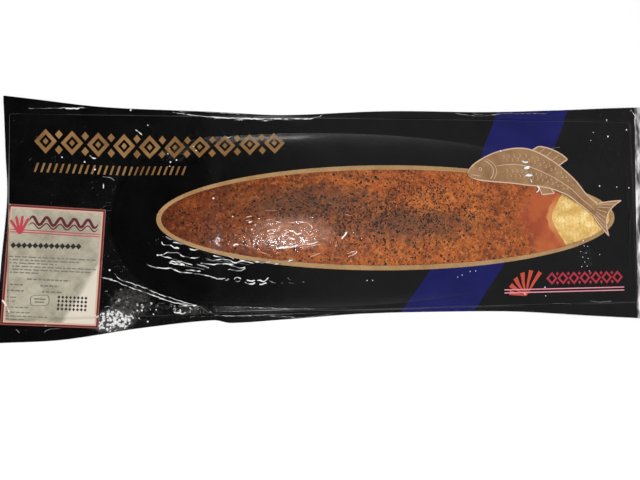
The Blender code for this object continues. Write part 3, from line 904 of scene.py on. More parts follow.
# %% Plain pink flesh by the tail, thinning out to a pale edge
PLAIN_START, PLAIN_FULL = -0.052, -0.03
PALE_START, PALE_FULL, PALE_MOST = -0.0115, -0.009, 0.9
CUT_WAVES = 0.03
aside = calc(flesh, "ABSOLUTE", calc(flesh, "SUBTRACT", y_here, FISH_AXIS_Y))
from_cut = calc(flesh, "SUBTRACT", x_here, calc(flesh, "MULTIPLY_ADD", aside, TAIL_NOTCH, TAIL_X))
cut_wave = calc(flesh, "MULTIPLY", calc(flesh, "SUBTRACT", patches, 0.5), CUT_WAVES)
from_cut = calc(flesh, "ADD", from_cut, cut_wave)
plain = fade(flesh, from_cut, PLAIN_START, PLAIN_FULL)
near_notch = fade(flesh, aside, 0.02, 0.008, 0.25)
pale = calc(flesh, "MULTIPLY", fade(flesh, from_cut, PALE_START, PALE_FULL, high=PALE_MOST), near_notch)
plain_meat = ramp(flesh, patches, (0.35, seen(158, 68, 34)), (0.65, seen(196, 106, 56)))
meat = blend(flesh, plain, meat, plain_meat)
meat = blend(flesh, pale, meat, seen(212, 144, 86))
paint(flesh, meat)
bump(flesh, grain, 0.0005, 0.7)
print("plain flesh in the last", round(-1000 * PLAIN_FULL), "mm before the cut")

# %% [markdown]
# ## The side of salmon
#
# A grid is squeezed into the side's outline: its length runs from the shoulder to the cut tail, which is
# bent into a shallow V, and its breadth fills the side at each place. It is laid just under the film with
# low fibres and lumps in it. Its border is then extruded down to the board and closed below.

# %% Lay a grid out as the side
FLESH_COLUMNS, FLESH_ROWS = 540, 168
FLESH_UNDER_FILM = 0.75 * MM
SHOULDER_BLUNT = 3 * MM
BOARD_TOP = 2.7 * MM
FISH_FLOOR = 3.0 * MM
FISH_THINNEST = 0.5 * MM
FIBRES, FIBRE_SLANT, FIBRE_STRETCH = 0.12, 0.6, 0.25
TAIL_STEPS = 8


def fish_half_width(x):
    round_end = np.minimum(x - SHOULDER_X, 0.0) / (SHOULDER_REACH - FISH_INSET)
    return (through(FISH_FOOT, x) - FISH_INSET) * np.sqrt(np.maximum(1 - round_end**2, 0.0))


def flesh_surface(x, y):
    end = tail_end(y)
    rounding = TAIL_ROUND * smooth_step(end - TAIL_ROUND_LENGTH, end, x)
    height = film_height(x, y) - FLESH_UNDER_FILM - rounding
    fibres = FIBRES * lumps(x + FIBRE_SLANT * np.abs(y - FISH_AXIS_Y), y * FIBRE_STRETCH, 3 * MM, seed=31)
    lumpy = 0.22 * lumps(x, y, 9 * MM, seed=32) + 0.1 * lumps(x, y, 3 * MM, seed=33) - 0.12
    return np.maximum(height + (fibres + lumpy) * MM, FISH_FLOOR + FISH_THINNEST)


salmon, u, v = squeezed_grid(FLESH_COLUMNS, FLESH_ROWS)
base_x = mix(SHOULDER_X - SHOULDER_REACH + FISH_INSET + SHOULDER_BLUNT, TAIL_X, (u + 1) / 2)
bend = smooth_step(TAIL_X - TAIL_BEND, TAIL_X, base_x)
fish_x = base_x
for _ in range(TAIL_STEPS):
    fish_y = FISH_AXIS_Y + v * fish_half_width(fish_x)
    fish_x = base_x + (tail_end(fish_y) - TAIL_X) * bend
move_corners(salmon, fish_x, fish_y, flesh_surface(fish_x, fish_y))
print("side of salmon, mm:", [round(float(np.ptp(way)) / MM) for way in (fish_x, fish_y)])

# %% Extrude the border down to the board and close the under side
only(salmon)
edit("EDGE")
bpy.ops.mesh.select_all(action="DESELECT")
bpy.ops.mesh.select_non_manifold()
bpy.ops.mesh.extrude_edges_move()
done()
chosen = np.empty(len(salmon.data.vertices), bool)
salmon.data.vertices.foreach_get("select", chosen)
flat = corners(salmon)
move_corners(salmon, flat[:, 0], flat[:, 1], np.where(chosen, FISH_FLOOR, flat[:, 2]))
bpy.ops.object.mode_set(mode="EDIT")
bpy.ops.mesh.edge_face_add()
done()
salmon = take("salmon_flesh", flesh)
faces_out(salmon)
place_on(salmon, "salmon", "salmon_side")

# %% [markdown]
# ## Cracked pepper and spice
#
# The spice is thousands of crushed flakes, each its own shape. One coarse ball is squashed flat and
# copied by arrays, with a seeded draw for each copy's place, size, turn and dents. The flakes lie thickest
# along the middle, get finer to the tail and leave the plain flesh there bare.

# %% The finish of the spice
PEPPER_TONES = (0.35, seen(30, 18, 13)), (0.55, seen(58, 34, 20)), (0.75, seen(112, 68, 38))
pepper_skin = finish("pepper_skin", seen(46, 28, 22), 0.6, 0.3)
pepper_noise = noise(pepper_skin, place(pepper_skin), 300.0, 1.0)
paint(pepper_skin, ramp(pepper_skin, pepper_noise, *PEPPER_TONES))

# %% Where the flakes lie
FLAKE_COUNT = 6200
FLAKE_SEED = 5
FLAKE_FLATNESS = 0.4
FLAKE_RADIUS, FLAKE_SPREAD, FLAKE_LIMITS = 0.56, 0.5, (0.25, 1.8)
FINER_FROM, FINER_TO, FINER = 60 * MM, 140 * MM, 0.25
FLAKE_LIFT, FLAKE_DEPTHS = 0.06 * MM, (-0.4 * MM, 0.38 * MM)
SHARE_ANYWHERE, CLUMP_SIZE = 0.6, 13 * MM
STRETCHES, DENTS = (0.6, 1.0), (0.65, 1.2)


def flake_places(draw, count):
    """Places in the window: some anywhere, most along the middle, none in the plain flesh at the tail."""
    places = np.empty((0, 2))
    while len(places) < count:
        even = np.stack([draw.uniform(-1, 1, count), draw.uniform(-1, 1, count)], axis=1)
        middle = np.stack([draw.normal(0.0, 0.42, count), draw.normal(0.05, 0.3, count)], axis=1)
        spread = np.where(draw.uniform(size=(count, 1)) < SHARE_ANYWHERE, even, middle)
        x = WINDOW_X + WINDOW_HALF_LENGTH * spread[:, 0]
        y = WINDOW_Y + WINDOW_HALF_WIDTH * spread[:, 1]
        clumps = 0.5 + 0.5 * lumps(x, y, CLUMP_SIZE, seed=41)
        bare = smooth_step(-55 * MM, -32 * MM, x - tail_end(y))
        keep = (np.hypot(*spread.T) < 1.0) & (draw.uniform(size=count) < (0.25 + clumps) * (1 - bare))
        places = np.concatenate([places, np.stack([x, y], axis=1)[keep]])
    return places[:count]


draw = np.random.default_rng(FLAKE_SEED)
spots = flake_places(draw, FLAKE_COUNT)
print("flakes:", len(spots), "from x =", round(float(spots[:, 0].min()) / MM), "mm on")

# %% Squash and dent a ball for each place
deselect()
bpy.ops.mesh.primitive_ico_sphere_add(subdivisions=1, radius=1)
flakes = take("spice_flakes", pepper_skin)
ball = corners(flakes)
ball_faces = np.array([polygon.vertices[:] for polygon in flakes.data.polygons])
radius = draw.lognormal(math.log(FLAKE_RADIUS), FLAKE_SPREAD, FLAKE_COUNT)
radius = np.clip(radius, *FLAKE_LIMITS) * MM
radius = radius * (1 - FINER * smooth_step(FINER_FROM, FINER_TO, spots[:, 0]))
stretch = draw.uniform(*STRETCHES, FLAKE_COUNT)
turn = draw.uniform(0, 2 * np.pi, FLAKE_COUNT)
dents = draw.uniform(*DENTS, (FLAKE_COUNT, len(ball), 1))
shape = ball[None] * dents * radius[:, None, None]
long, short = shape[:, :, 0] / stretch[:, None] ** 0.5, shape[:, :, 1] * stretch[:, None]
flake_x = spots[:, :1] + long * np.cos(turn)[:, None] - short * np.sin(turn)[:, None]
flake_y = spots[:, 1:] + long * np.sin(turn)[:, None] + short * np.cos(turn)[:, None]
ground = flesh_surface(spots[:, 0], spots[:, 1]) + FLAKE_LIFT
flake_z = ground[:, None] + np.clip(shape[:, :, 2] * FLAKE_FLATNESS, *FLAKE_DEPTHS)
every = np.stack([flake_x, flake_y, flake_z], axis=2).reshape(-1, 3)
faces = (ball_faces[None] + len(ball) * np.arange(FLAKE_COUNT)[:, None, None]).reshape(-1, 3)
strewn = bpy.data.meshes.new("spice_flakes")
strewn.from_pydata(every.tolist(), [], faces.tolist())
strewn.materials.append(pepper_skin)
flakes.data = strewn
place_on(flakes, "salmon", "salmon_side")

# %% [markdown]
# ## The gold board
#
# The board is coated card, pale yellow where the light falls on it, embossed with a fine pattern, with
# pressed waves and a few oily stains. It is a box with its corners and edges bevelled. The emboss is
# finer than a millimetre, so it is a bump, and the waves have no relief: their valleys are painted shade.

# %% Gold card finish
CARD_TONES = (0.36, seen(210, 170, 92)), (0.5, seen(234, 198, 120)), (0.64, seen(250, 226, 160))
WAVE = {"Scale": 78.0, "Distortion": 5.0, "Detail": 2.0, "Detail Scale": 3.0}
gold_card = finish("gold_card", seen(232, 204, 126), 0.38, 0.4)
here = place(gold_card)
card_tone = ramp(gold_card, noise(gold_card, here, 90.0, 4.0, 0.65), *CARD_TONES)
oil = fade(gold_card, noise(gold_card, here, 260.0, 2.0), 0.6, 0.7, high=0.5)
card_tone = blend(gold_card, oil, card_tone, seen(158, 132, 66))
waves = node(gold_card, "TexWave", {"Vector": here, **WAVE})
# The waves' valleys get painted shade.
painted_valley_shade = fade(gold_card, waves.outputs["Fac"], 0.24, 0.02, high=0.36)
paint(gold_card, blend(gold_card, painted_valley_shade, card_tone, seen(190, 148, 78)))
dots = node(gold_card, "TexVoronoi", {"Vector": here, "Scale": 520.0}).outputs["Distance"]
bump(gold_card, dots, 0.0004, 0.8)

# %% Model the board
BOARD_THICKNESS, BOARD_CORNER, BOARD_BEVEL = 1.5 * MM, 6 * MM, 0.3 * MM
middle_x, middle_y = (BOARD_LEFT + BOARD_RIGHT) / 2, (BOARD_LOW + BOARD_HIGH) / 2
deselect()
bpy.ops.mesh.primitive_cube_add(size=1, location=(middle_x, middle_y, BOARD_TOP - BOARD_THICKNESS / 2))
bpy.context.object.scale = (BOARD_RIGHT - BOARD_LEFT, BOARD_HIGH - BOARD_LOW, BOARD_THICKNESS)
board = take("embossed_board", gold_card)
edit("EDGE")
bpy.ops.mesh.select_all(action="DESELECT")
done()
for side in board.data.edges:
    a, b = (board.data.vertices[k].co for k in side.vertices)
    side.select = abs(a.z - b.z) > BOARD_THICKNESS / 2
bpy.ops.object.mode_set(mode="EDIT")
bpy.ops.mesh.bevel(offset=BOARD_CORNER, segments=8)
bpy.ops.mesh.select_all(action="SELECT")
bpy.ops.mesh.bevel(offset=BOARD_BEVEL, segments=2, affect="EDGES", clamp_overlap=True)
done()
faces_out(board, smooth=False)
bpy.ops.object.shade_smooth_by_angle(angle=math.radians(40))
place_on(board, "gold_board", "gold_board")

# %% [markdown]
# ## Print that lies on the film
#
# The film also carries a gold frieze, a gold fish and a red emblem. Each could be drawn in the shader, but
# shapes with many edges are easier to model: a grid or a ring is squeezed into the shape's form and laid on
# the film, a hair above it. One helper lays any sheet down, and the others make a bar, a lozenge, a
# ring and a brush stroke that follows a curve.

# %% Lay shapes on the film
PRINT_LIFT = 0.2 * MM


def lay(columns, rows, form, lift=PRINT_LIFT, ground=film_surface):
    """A grid whose places from -1 to 1 the form turns into plan x and y."""
    piece, u, v = squeezed_grid(columns, rows)
    x, y = form(u, v)
    move_corners(piece, x, y, ground(x, y) + lift)
    return piece


def lay_bar(x, y, half_x, half_y, cell=2 * MM, **laid):
    columns, rows = (max(1, math.ceil(2 * half / cell)) for half in (half_x, half_y))
    return lay(columns, rows, lambda u, v: (x + half_x * u, y + half_y * v), **laid)


def lay_lozenge(x, y, half_x, half_y, **laid):
    return lay(4, 4, lambda u, v: (x + half_x * (u + v) / 2, y + half_y * (v - u) / 2), **laid)


def lay_disc(x, y, half_x, half_y, **laid):
    def form(u, v):
        return x + half_x * u * np.sqrt(1 - v * v / 2), y + half_y * v * np.sqrt(1 - u * u / 2)

    return lay(8, 8, form, **laid)


print("the print lies", PRINT_LIFT / MM, "mm above the film")

# %% Strokes and rings
TANGENT_STEP = 0.002
END_BLUNT, END_RISE = 0.3, 12


def lay_stroke(curve, half_width, columns=40, lift=PRINT_LIFT, ground=film_surface):
    """A ribbon along a curve, which gives x and y for a share from 0 to 1; thin at both ends."""

    def form(u, v):
        share = (u + 1) / 2
        x, y = curve(share)
        ahead = curve(np.minimum(share + TANGENT_STEP, 1))
        behind = curve(np.maximum(share - TANGENT_STEP, 0))
        dx, dy = ahead[0] - behind[0], ahead[1] - behind[1]
        long = np.maximum(np.hypot(dx, dy), 1e-9)
        wide = half_width * v * np.minimum(1, END_BLUNT + END_RISE * np.minimum(share, 1 - share))
        return x - dy / long * wide, y + dx / long * wide

    return lay(columns, 1, form, lift, ground)


def lay_ring(
    x, y, half_x, half_y, inner, corners_out=2.0, columns=48, lift=PRINT_LIFT, ground=film_surface
):
    """A closed band; corners_out 1 gives a lozenge, 2 an oval, more a box with round corners."""
    piece = ring_sheet(columns, 3)
    flat = corners(piece)
    size = mix(inner, 1.0, np.hypot(flat[:, 0], flat[:, 1]) - 1)
    turn = np.arctan2(flat[:, 1], flat[:, 0])
    powers = np.abs(np.cos(turn)) ** corners_out + np.abs(np.sin(turn)) ** corners_out
    reach = powers ** (-1 / corners_out)
    ring_x, ring_y = x + half_x * size * reach * np.cos(turn), y + half_y * size * reach * np.sin(turn)
    move_corners(piece, ring_x, ring_y, ground(ring_x, ring_y) + lift)
    return piece


def print_piece(pieces, name, ink, slot="printed_film", solid="pouch"):
    for piece in pieces:
        face_up(piece)
    piece = join(pieces, name)
    take(name, ink)
    bpy.ops.object.shade_smooth()
    place_on(piece, slot, solid)


# %% [markdown]
# ## The gold frieze
#
# Along the upper left runs a bold row of gold lozenge rings, each with a small lozenge inside and two
# between each pair. Under it is a fine row of slanted dashes. The rows sag a little, as the film does.

# %% Two rows of gold ornament
FRIEZE_LINE = [(-290, 71.5), (-215, 67), (-143, 65), (-105, 67), (-62, 69.5)]
FRIEZE_START, FRIEZE_PITCH, FRIEZE_UNITS = -279 * MM, 23.4 * MM, 10
LOZENGE, LOZENGE_HOLE = (10 * MM, 11.5 * MM), 0.56
INNER_LOZENGE = (2.6 * MM, 3.2 * MM)
LINK, LINK_OUT = (3.4 * MM, 4.2 * MM), 7.2 * MM
DASH_START, DASH_PITCH, DASH_COUNT = -287 * MM, 5.6 * MM, 25
DASH_Y_FIRST, DASH_Y_LAST = 46.5, 41.0
DASH_HALF_WIDTH, DASH_SLANT, DASH_HALF_HEIGHT = 0.95, 1.4, 4.2

frieze = []
for k in range(FRIEZE_UNITS):
    x = FRIEZE_START + FRIEZE_PITCH * k
    y = float(through(FRIEZE_LINE, np.array(x)))
    frieze.append(lay_ring(x, y, *LOZENGE, LOZENGE_HOLE, corners_out=1.0, columns=64))
    frieze.append(lay_lozenge(x, y, *INNER_LOZENGE))
    if k < FRIEZE_UNITS - 1:
        between = x + FRIEZE_PITCH / 2
        y = float(through(FRIEZE_LINE, np.array(between)))
        for side in (-1, 1):
            frieze.append(lay_lozenge(between, y + side * LINK_OUT, *LINK))
for k in range(DASH_COUNT):
    x = DASH_START + DASH_PITCH * k
    y = mix(DASH_Y_FIRST, DASH_Y_LAST, k / (DASH_COUNT - 1)) * MM
    dash = lambda u, v: (x + (DASH_HALF_WIDTH * u + DASH_SLANT * v) * MM, y + DASH_HALF_HEIGHT * v * MM)
    frieze.append(lay(2, 5, dash))
frieze_ink = finish("frieze_ink", seen(146, 108, 62), 0.3)
frieze_tone = noise(frieze_ink, place(frieze_ink), 60.0, 3.0)
frieze_gold = ramp(frieze_ink, frieze_tone, (0.3, seen(116, 82, 44)), (0.7, seen(146, 110, 66)))
paint(frieze_ink, frieze_gold)
print_piece(frieze, "gold_frieze", frieze_ink)

# %% [markdown]
# ## The gold fish
#
# A plain leaping fish is printed across the tail end of the window. Its middle line is a curve, and its
# breadth at each place along that line turns a grid into the body. The tail fans out past its end. Pale
# strokes draw the outline, the gill, the side line, the fins and rows of scales.

# %% The fish's middle line, body and fins
FIGURE_LINE = [(121, 38), (140, 43), (165, 47.5), (188, 47.5), (212, 40), (232, 28), (250, 14), (262, 4)]
FIGURE_HALF = [
    (121, 0.8), (127, 6), (141, 11.5), (162, 16.5), (186, 19), (206, 16), (226, 11), (246, 6.5), (262, 5.5),
]
FIGURE_FROM, FIGURE_TO = 121 * MM, 262 * MM
TAIL_LONG, TAIL_FORK, TAIL_SPREAD = 15 * MM, 9 * MM, 20 * MM


def middle_line(share):
    """A point of the fish's middle line, and the unit way across it."""
    x = mix(FIGURE_FROM, FIGURE_TO, share)
    y = through(FIGURE_LINE, x)
    slope = (through(FIGURE_LINE, x + MM) - through(FIGURE_LINE, x - MM)) / (2 * MM)
    long = np.hypot(1.0, slope)
    return x, y, -slope / long, 1 / long


def on_body(share, across, beyond=0.0):
    x, y, nx, ny = middle_line(share)
    half = through(FIGURE_HALF, x) * across + beyond * np.sign(across)
    return x + nx * half, y + ny * half


def on_tail(out, across):
    x, y, nx, ny = middle_line(np.ones_like(out * across))
    along = out * (TAIL_LONG + TAIL_FORK * across**2)
    half = across * mix(5.5 * MM, TAIL_SPREAD, out**0.8)
    return x + ny * along + nx * half, y - nx * along + ny * half


def on_back_fin(share, out):
    x, y, nx, ny = middle_line(mix(0.5, 0.68, share))
    half = through(FIGURE_HALF, x) + out * 11 * MM * (1 - 0.5 * (1 - share) ** 2)
    back = out * 6 * MM
    return x + nx * half + ny * back, y + ny * half - nx * back


def on_belly_fin(share, out):
    x, y, nx, ny = middle_line(mix(0.58, 0.68, share))
    half = -through(FIGURE_HALF, x) * 0.96 - out * 8 * MM * (1 - 0.6 * share)
    back = out * 7 * MM
    return x + nx * half + ny * back, y + ny * half - nx * back


print("fish:", round((FIGURE_TO - FIGURE_FROM) / MM), "mm long, and its tail")

# %% The fish's body in gold
figure = [
    lay(110, 26, lambda u, v: on_body((u + 1) / 2, v)),
    lay(24, 30, lambda u, v: on_tail((u + 1) / 2, v)),
    lay(16, 10, lambda u, v: on_back_fin((u + 1) / 2, (v + 1) / 2)),
    lay(12, 8, lambda u, v: on_belly_fin((u + 1) / 2, (v + 1) / 2)),
]
figure_ink = finish("figure_ink", seen(150, 112, 66), 0.14)
figure_place = place(figure_ink)
figure_tone = noise(figure_ink, figure_place, 80.0, 4.0, 0.6)
figure_gold = ramp(figure_ink, figure_tone, (0.32, seen(132, 98, 64)), (0.68, seen(160, 124, 88)))
paint(figure_ink, figure_gold)
bump(figure_ink, noise(figure_ink, figure_place, 500.0, 2.0), 0.0001, 0.5)
print_piece(figure, "gold_fish", figure_ink)

# %% Pale strokes on the fish
LINE_LIFT = 0.32 * MM
EDGE_HALF, FINE_HALF = 0.62 * MM, 0.3 * MM


def stroke(curve, half_width=FINE_HALF, columns=40):
    return lay_stroke(curve, half_width, columns, LINE_LIFT)


def upright(share):
    return 2 * share - 1


strokes = [
    stroke(lambda s: on_body(s, 1.0, 0.3 * MM), EDGE_HALF, 120),
    stroke(lambda s: on_body(s, -1.0, 0.3 * MM), EDGE_HALF, 120),
    stroke(lambda s: on_tail(s, 1.0 + 0 * s), EDGE_HALF, 24),
    stroke(lambda s: on_tail(s, -1.0 + 0 * s), EDGE_HALF, 24),
    stroke(lambda s: on_tail(1.0 + 0 * s, upright(s)), EDGE_HALF, 44),
    stroke(lambda s: on_back_fin(0.0 * s, s), EDGE_HALF, 16),
    stroke(lambda s: on_back_fin(s, 1.0 + 0 * s), EDGE_HALF, 24),
    stroke(lambda s: on_back_fin(1.0 + 0 * s, s), EDGE_HALF, 16),
    stroke(lambda s: on_belly_fin(0.0 * s, s), EDGE_HALF, 16),
    stroke(lambda s: on_belly_fin(s, 1.0 + 0 * s), EDGE_HALF, 16),
    stroke(lambda s: on_belly_fin(1.0 + 0 * s, s), EDGE_HALF, 16),
    stroke(lambda s: on_body(0.2 - 0.045 * upright(s) ** 2, 0.8 * upright(s)), 0.4 * MM, 24),
    stroke(lambda s: on_body(0.225 - 0.05 * upright(s) ** 2, 0.84 * upright(s)), FINE_HALF, 24),
    stroke(lambda s: on_body(mix(0.23, 1.0, s), 0.12 * np.cos(4 * s)), 0.35 * MM, 90),
    stroke(lambda s: on_body(mix(0.02, 0.09, s), -0.25 - 0.3 * s), FINE_HALF, 12),
]
for across in (-0.72, -0.45, -0.18, 0.12, 0.42, 0.7):
    strokes.append(stroke(lambda s: on_tail(mix(0.12, 0.93, s), across + 0 * s), 0.26 * MM, 14))
for share in (0.25, 0.5, 0.75):
    strokes.append(stroke(lambda s: on_back_fin(share + 0 * s, mix(0.1, 0.85, s)), 0.24 * MM, 10))
for row, (across, count) in enumerate(((0.62, 12), (0.38, 13), (-0.28, 13), (-0.56, 12))):
    for k in range(count):
        share = 0.3 + 0.04 * k + 0.02 * (row % 2)
        form = lambda s: on_body(share + 0.012 * (1 - upright(s) ** 2), across + 0.11 * upright(s))
        strokes.append(stroke(form, 0.2 * MM, 8))
x_eye, y_eye = (float(v) for v in on_body(np.array(0.105), np.array(0.22)))
strokes.append(lay_ring(x_eye, y_eye, 1.9 * MM, 1.9 * MM, 0.6, columns=20, lift=LINE_LIFT))
pale_ink = finish("pale_ink", seen(205, 172, 148), 0.3)
print_piece(strokes, "fish_outline", pale_ink)

# %% [markdown]
# ## The red emblem
#
# In the lower right corner is a small emblem: a fan shell of red strokes, a row of red lozenge rings, and
# twin pink lines that run under both.

# %% Shell, lozenges and lines
SHELL_X, SHELL_Y = 184 * MM, -83 * MM
BLADE_TURNS, BLADE_REACH, BLADE_HALF_WIDTH = (58, 80, 102, 124, 146, 168), 24, 2.3
shell = []
for degrees in BLADE_TURNS:
    lean = math.radians(degrees)
    reach = BLADE_REACH - 0.09 * (degrees - 102)

    def blade(u, v):
        out, aside = (u + 1) / 2 * reach, v * BLADE_HALF_WIDTH * (u + 1.15) / 2
        x = SHELL_X + (out * math.cos(lean) - aside * math.sin(lean)) * MM
        return x, SHELL_Y + (out * math.sin(lean) + aside * math.cos(lean)) * MM

    shell.append(lay(12, 3, blade))
print_piece(shell, "red_shell", finish("shell_ink", seen(186, 72, 54), 0.3))

ROW_START, ROW_Y, ROW_PITCH, ROW_UNITS = 212 * MM, -66 * MM, 12 * MM, 7
ROW_LOZENGE, ROW_HOLE = (6 * MM, 6.6 * MM), 0.55
ROW_LINK, ROW_LINK_OUT = (1.7 * MM, 2 * MM), 4.6 * MM
lozenge_row = []
for k in range(ROW_UNITS):
    x = ROW_START + ROW_PITCH * k
    lozenge_row.append(lay_ring(x, ROW_Y, *ROW_LOZENGE, ROW_HOLE, corners_out=1.0, columns=32))
    if k < ROW_UNITS - 1:
        for side in (-1, 1):
            link_y = ROW_Y + side * ROW_LINK_OUT
            lozenge_row.append(lay_lozenge(x + ROW_PITCH / 2, link_y, *ROW_LINK))
print_piece(lozenge_row, "red_lozenges", finish("red_ink", seen(160, 42, 58), 0.3))

TWIN_X, TWIN_HALF, TWIN_LINES = 226 * MM, (65 * MM, 0.55 * MM), (-76.6 * MM, -79.6 * MM)
twin_lines = [lay_bar(TWIN_X, y, *TWIN_HALF, lift=LINE_LIFT) for y in TWIN_LINES]
print_piece(twin_lines, "pink_lines", finish("pink_ink", seen(216, 140, 152), 0.3))

# %% [markdown]
# ## The paper label
#
# The label is glossy paper stuck on the film. It is a grid turned a few degrees and laid on the smooth form
# of the film. A fold runs across its lower right corner, where the film under it gathered, and the paper
# beyond the fold tips towards the light, so it is painted lighter there: a painted sheen.

# %% The label's form
LABEL_LIFT = 0.4 * MM
LABEL_CREASE = ((41, 6), (-1, -51))
FOLD_LEAN, FOLD_FROM = -0.63, 0.2056
LABEL_COLUMNS, LABEL_ROWS = 86, 110
RIDGE_HEIGHT, RIDGE_WIDTH = 0.45, 1.6
DIP_DEPTH, DIP_PLACE, DIP_WIDTH = 0.35, 4, 3.5
PAPER_RISE = 0.3


def label_place(s, t):
    """From the label's own across and up to plan x and y."""
    c, d = math.cos(LABEL_TURN), math.sin(LABEL_TURN)
    return LABEL_X + s * c - t * d, LABEL_Y + s * d + t * c


def label_ground(x, y):
    """The paper's height: the smooth film below, a ridge along the fold and a dip past it."""
    s, t = in_label(x, y)
    (s0, t0), (s1, t1) = LABEL_CREASE
    long = math.dist((s0, t0), (s1, t1))
    past = ((s / MM - s0) * (t1 - t0) - (t / MM - t0) * (s1 - s0)) / long * -1
    dip = DIP_DEPTH * np.exp(-(((past - DIP_PLACE) / DIP_WIDTH) ** 2))
    fold = RIDGE_HEIGHT * np.exp(-((past / RIDGE_WIDTH) ** 2)) - dip
    wavy = 0.12 * lumps(s, t, 19 * MM, seed=51) + 0.04 * lumps(s, t, 7 * MM, seed=52)
    return film_height(x, y) + LABEL_LIFT + (fold + wavy + PAPER_RISE) * MM


def on_label(s, t, half_s, half_t):
    """The form of a bar in the label's own millimetres."""
    return lambda u, v: label_place((s + half_s * u) * MM, (t + half_t * v) * MM)


print("label:", round(2 * LABEL_HALF_WIDTH / MM), "x", round(2 * LABEL_HALF_HEIGHT / MM), "mm")

# %% The paper's finish, and the sheet
paper = finish("label_paper", seen(200, 196, 180), 0.35, 0.4)
paper_place = place(paper)
paper_cloud = noise(paper, paper_place, 60.0, 5.0, 0.7)
paper_tone = ramp(paper, paper_cloud, (0.36, seen(144, 138, 120)), (0.64, seen(180, 173, 154)))
paper_x, paper_y = x_and_y(paper)
# Past the fold the paper is painted lighter: a painted sheen where it tips towards the light.
past_fold = calc(paper, "MULTIPLY_ADD", paper_y, FOLD_LEAN, calc(paper, "ADD", paper_x, FOLD_FROM))
painted_sheen_past_fold = fade(paper, past_fold, -0.001, 0.004, high=0.95)
paint(paper, blend(paper, painted_sheen_past_fold, paper_tone, seen(214, 204, 188)))
bump(paper, noise(paper, paper_place, 200.0, 3.0), 0.0001, 0.5)

whole_label = on_label(0, 0, LABEL_HALF_WIDTH / MM, LABEL_HALF_HEIGHT / MM)
lay(LABEL_COLUMNS, LABEL_ROWS, whole_label, 0.0, label_ground)
label = take("label_paper", paper)
face_up(label)
only(label)
bpy.ops.object.shade_smooth()
place_on(label, "label_paper", "label")

# %% [markdown]
# ## The label's print
#
# The print stands for what such a label carries, without saying anything: a frame of coloured lines, a
# band of ornament at the top, rows of short strokes, a round-cornered ring and a block of small lozenges.
# In the lower left corner a small fold carries a painted glint, a thin pale stroke like the print.

# %% Bars, inks and the frame
LABEL_PRINT_LIFT = 0.08 * MM
LABEL_CELL = 1.2


def label_bar(s, t, half_s, half_t):
    rows, columns = (max(1, math.ceil(half / LABEL_CELL)) for half in (half_t, half_s))
    return lay(columns, rows, on_label(s, t, half_s, half_t), LABEL_PRINT_LIFT, label_ground)


def label_frame(inset, thick):
    """Four bars round the label, inset from its edge."""
    s, t = (round(half / MM) - inset - thick / 2 for half in (LABEL_HALF_WIDTH, LABEL_HALF_HEIGHT))
    long = [label_bar(0, side * t, s + thick / 2, thick / 2) for side in (-1, 1)]
    return long + [label_bar(side * s, 0, thick / 2, t - thick / 2) for side in (-1, 1)]


def label_print(pieces, name, ink, red, green, blue):
    """Join pieces of the label's print, in an ink of their own."""
    print_piece(pieces, name, finish(ink, seen(red, green, blue), 0.4, 0.4), "label_paper", "label")


label_print(label_frame(0.0, 0.8), "label_frame_red", "ink_red", 138, 76, 68)
label_print(label_frame(0.8, 1.4), "label_frame_dark", "ink_dark_red", 92, 34, 34)
label_print(label_frame(2.2, 1.5), "label_frame_pink", "ink_pink", 206, 164, 146)

# %% Rows of short strokes, and a ring
STROKE_SEED, STROKE_GAP = 61, 1.0
LONG_ROWS = (
    (7.5, -39, 37), (4.6, -39, 24), (1.8, -39, 3), (-1.2, -39, 38), (-4.0, -39, 33), (-6.8, -39, -12),
)
SHORT_ROWS = (-12.5, -22, 16), (-18, -38, -25), (-18, -10, 6), (-23.4, -39, -24), (-23.4, -8, 9)
LOW_ROWS = (
    (-29.5, -39, -29), (-33, -39, -31), (-38.5, -39, -18),
    (-43, -39, -17), (-46.5, -39, -2), (-49.5, -39, -22),
)
draw = np.random.default_rng(STROKE_SEED)


def stroke_row(t, left, right, lengths, half_high, gaps=None, tilt=0.0):
    """Strokes of drawn lengths from left to right, in the label's own millimetres."""
    s, row = left, []
    while s < right:
        long = min(draw.uniform(*lengths), right - s)
        row.append(label_bar(s + long / 2, t + tilt * s * MM / LABEL_HALF_WIDTH, long / 2, half_high))
        s += long + (draw.uniform(*gaps) if gaps else STROKE_GAP)
    return row


grey_rows = []
for rows, *looks in (
    (LONG_ROWS, (2.0, 6.5), 0.55, (0.9, 1.6), 0.2),
    (SHORT_ROWS, (2.0, 4.5), 0.7),
    (LOW_ROWS, (2.5, 6.0), 0.5),
):
    for row in rows:
        grey_rows += stroke_row(*row, *looks)
ring_place = label_place(-9.5 * MM, -31.5 * MM)
grey_rows.append(lay_ring(*ring_place, 8.5 * MM, 5 * MM, 0.9, 4.0, 48, LABEL_PRINT_LIFT, label_ground))
grey_rows.append(label_bar(-9.5, -30.2, 5, 0.6))
grey_rows.append(label_bar(-9.5, -33.0, 4, 0.6))
label_print(grey_rows, "label_strokes", "ink_grey", 112, 108, 98)

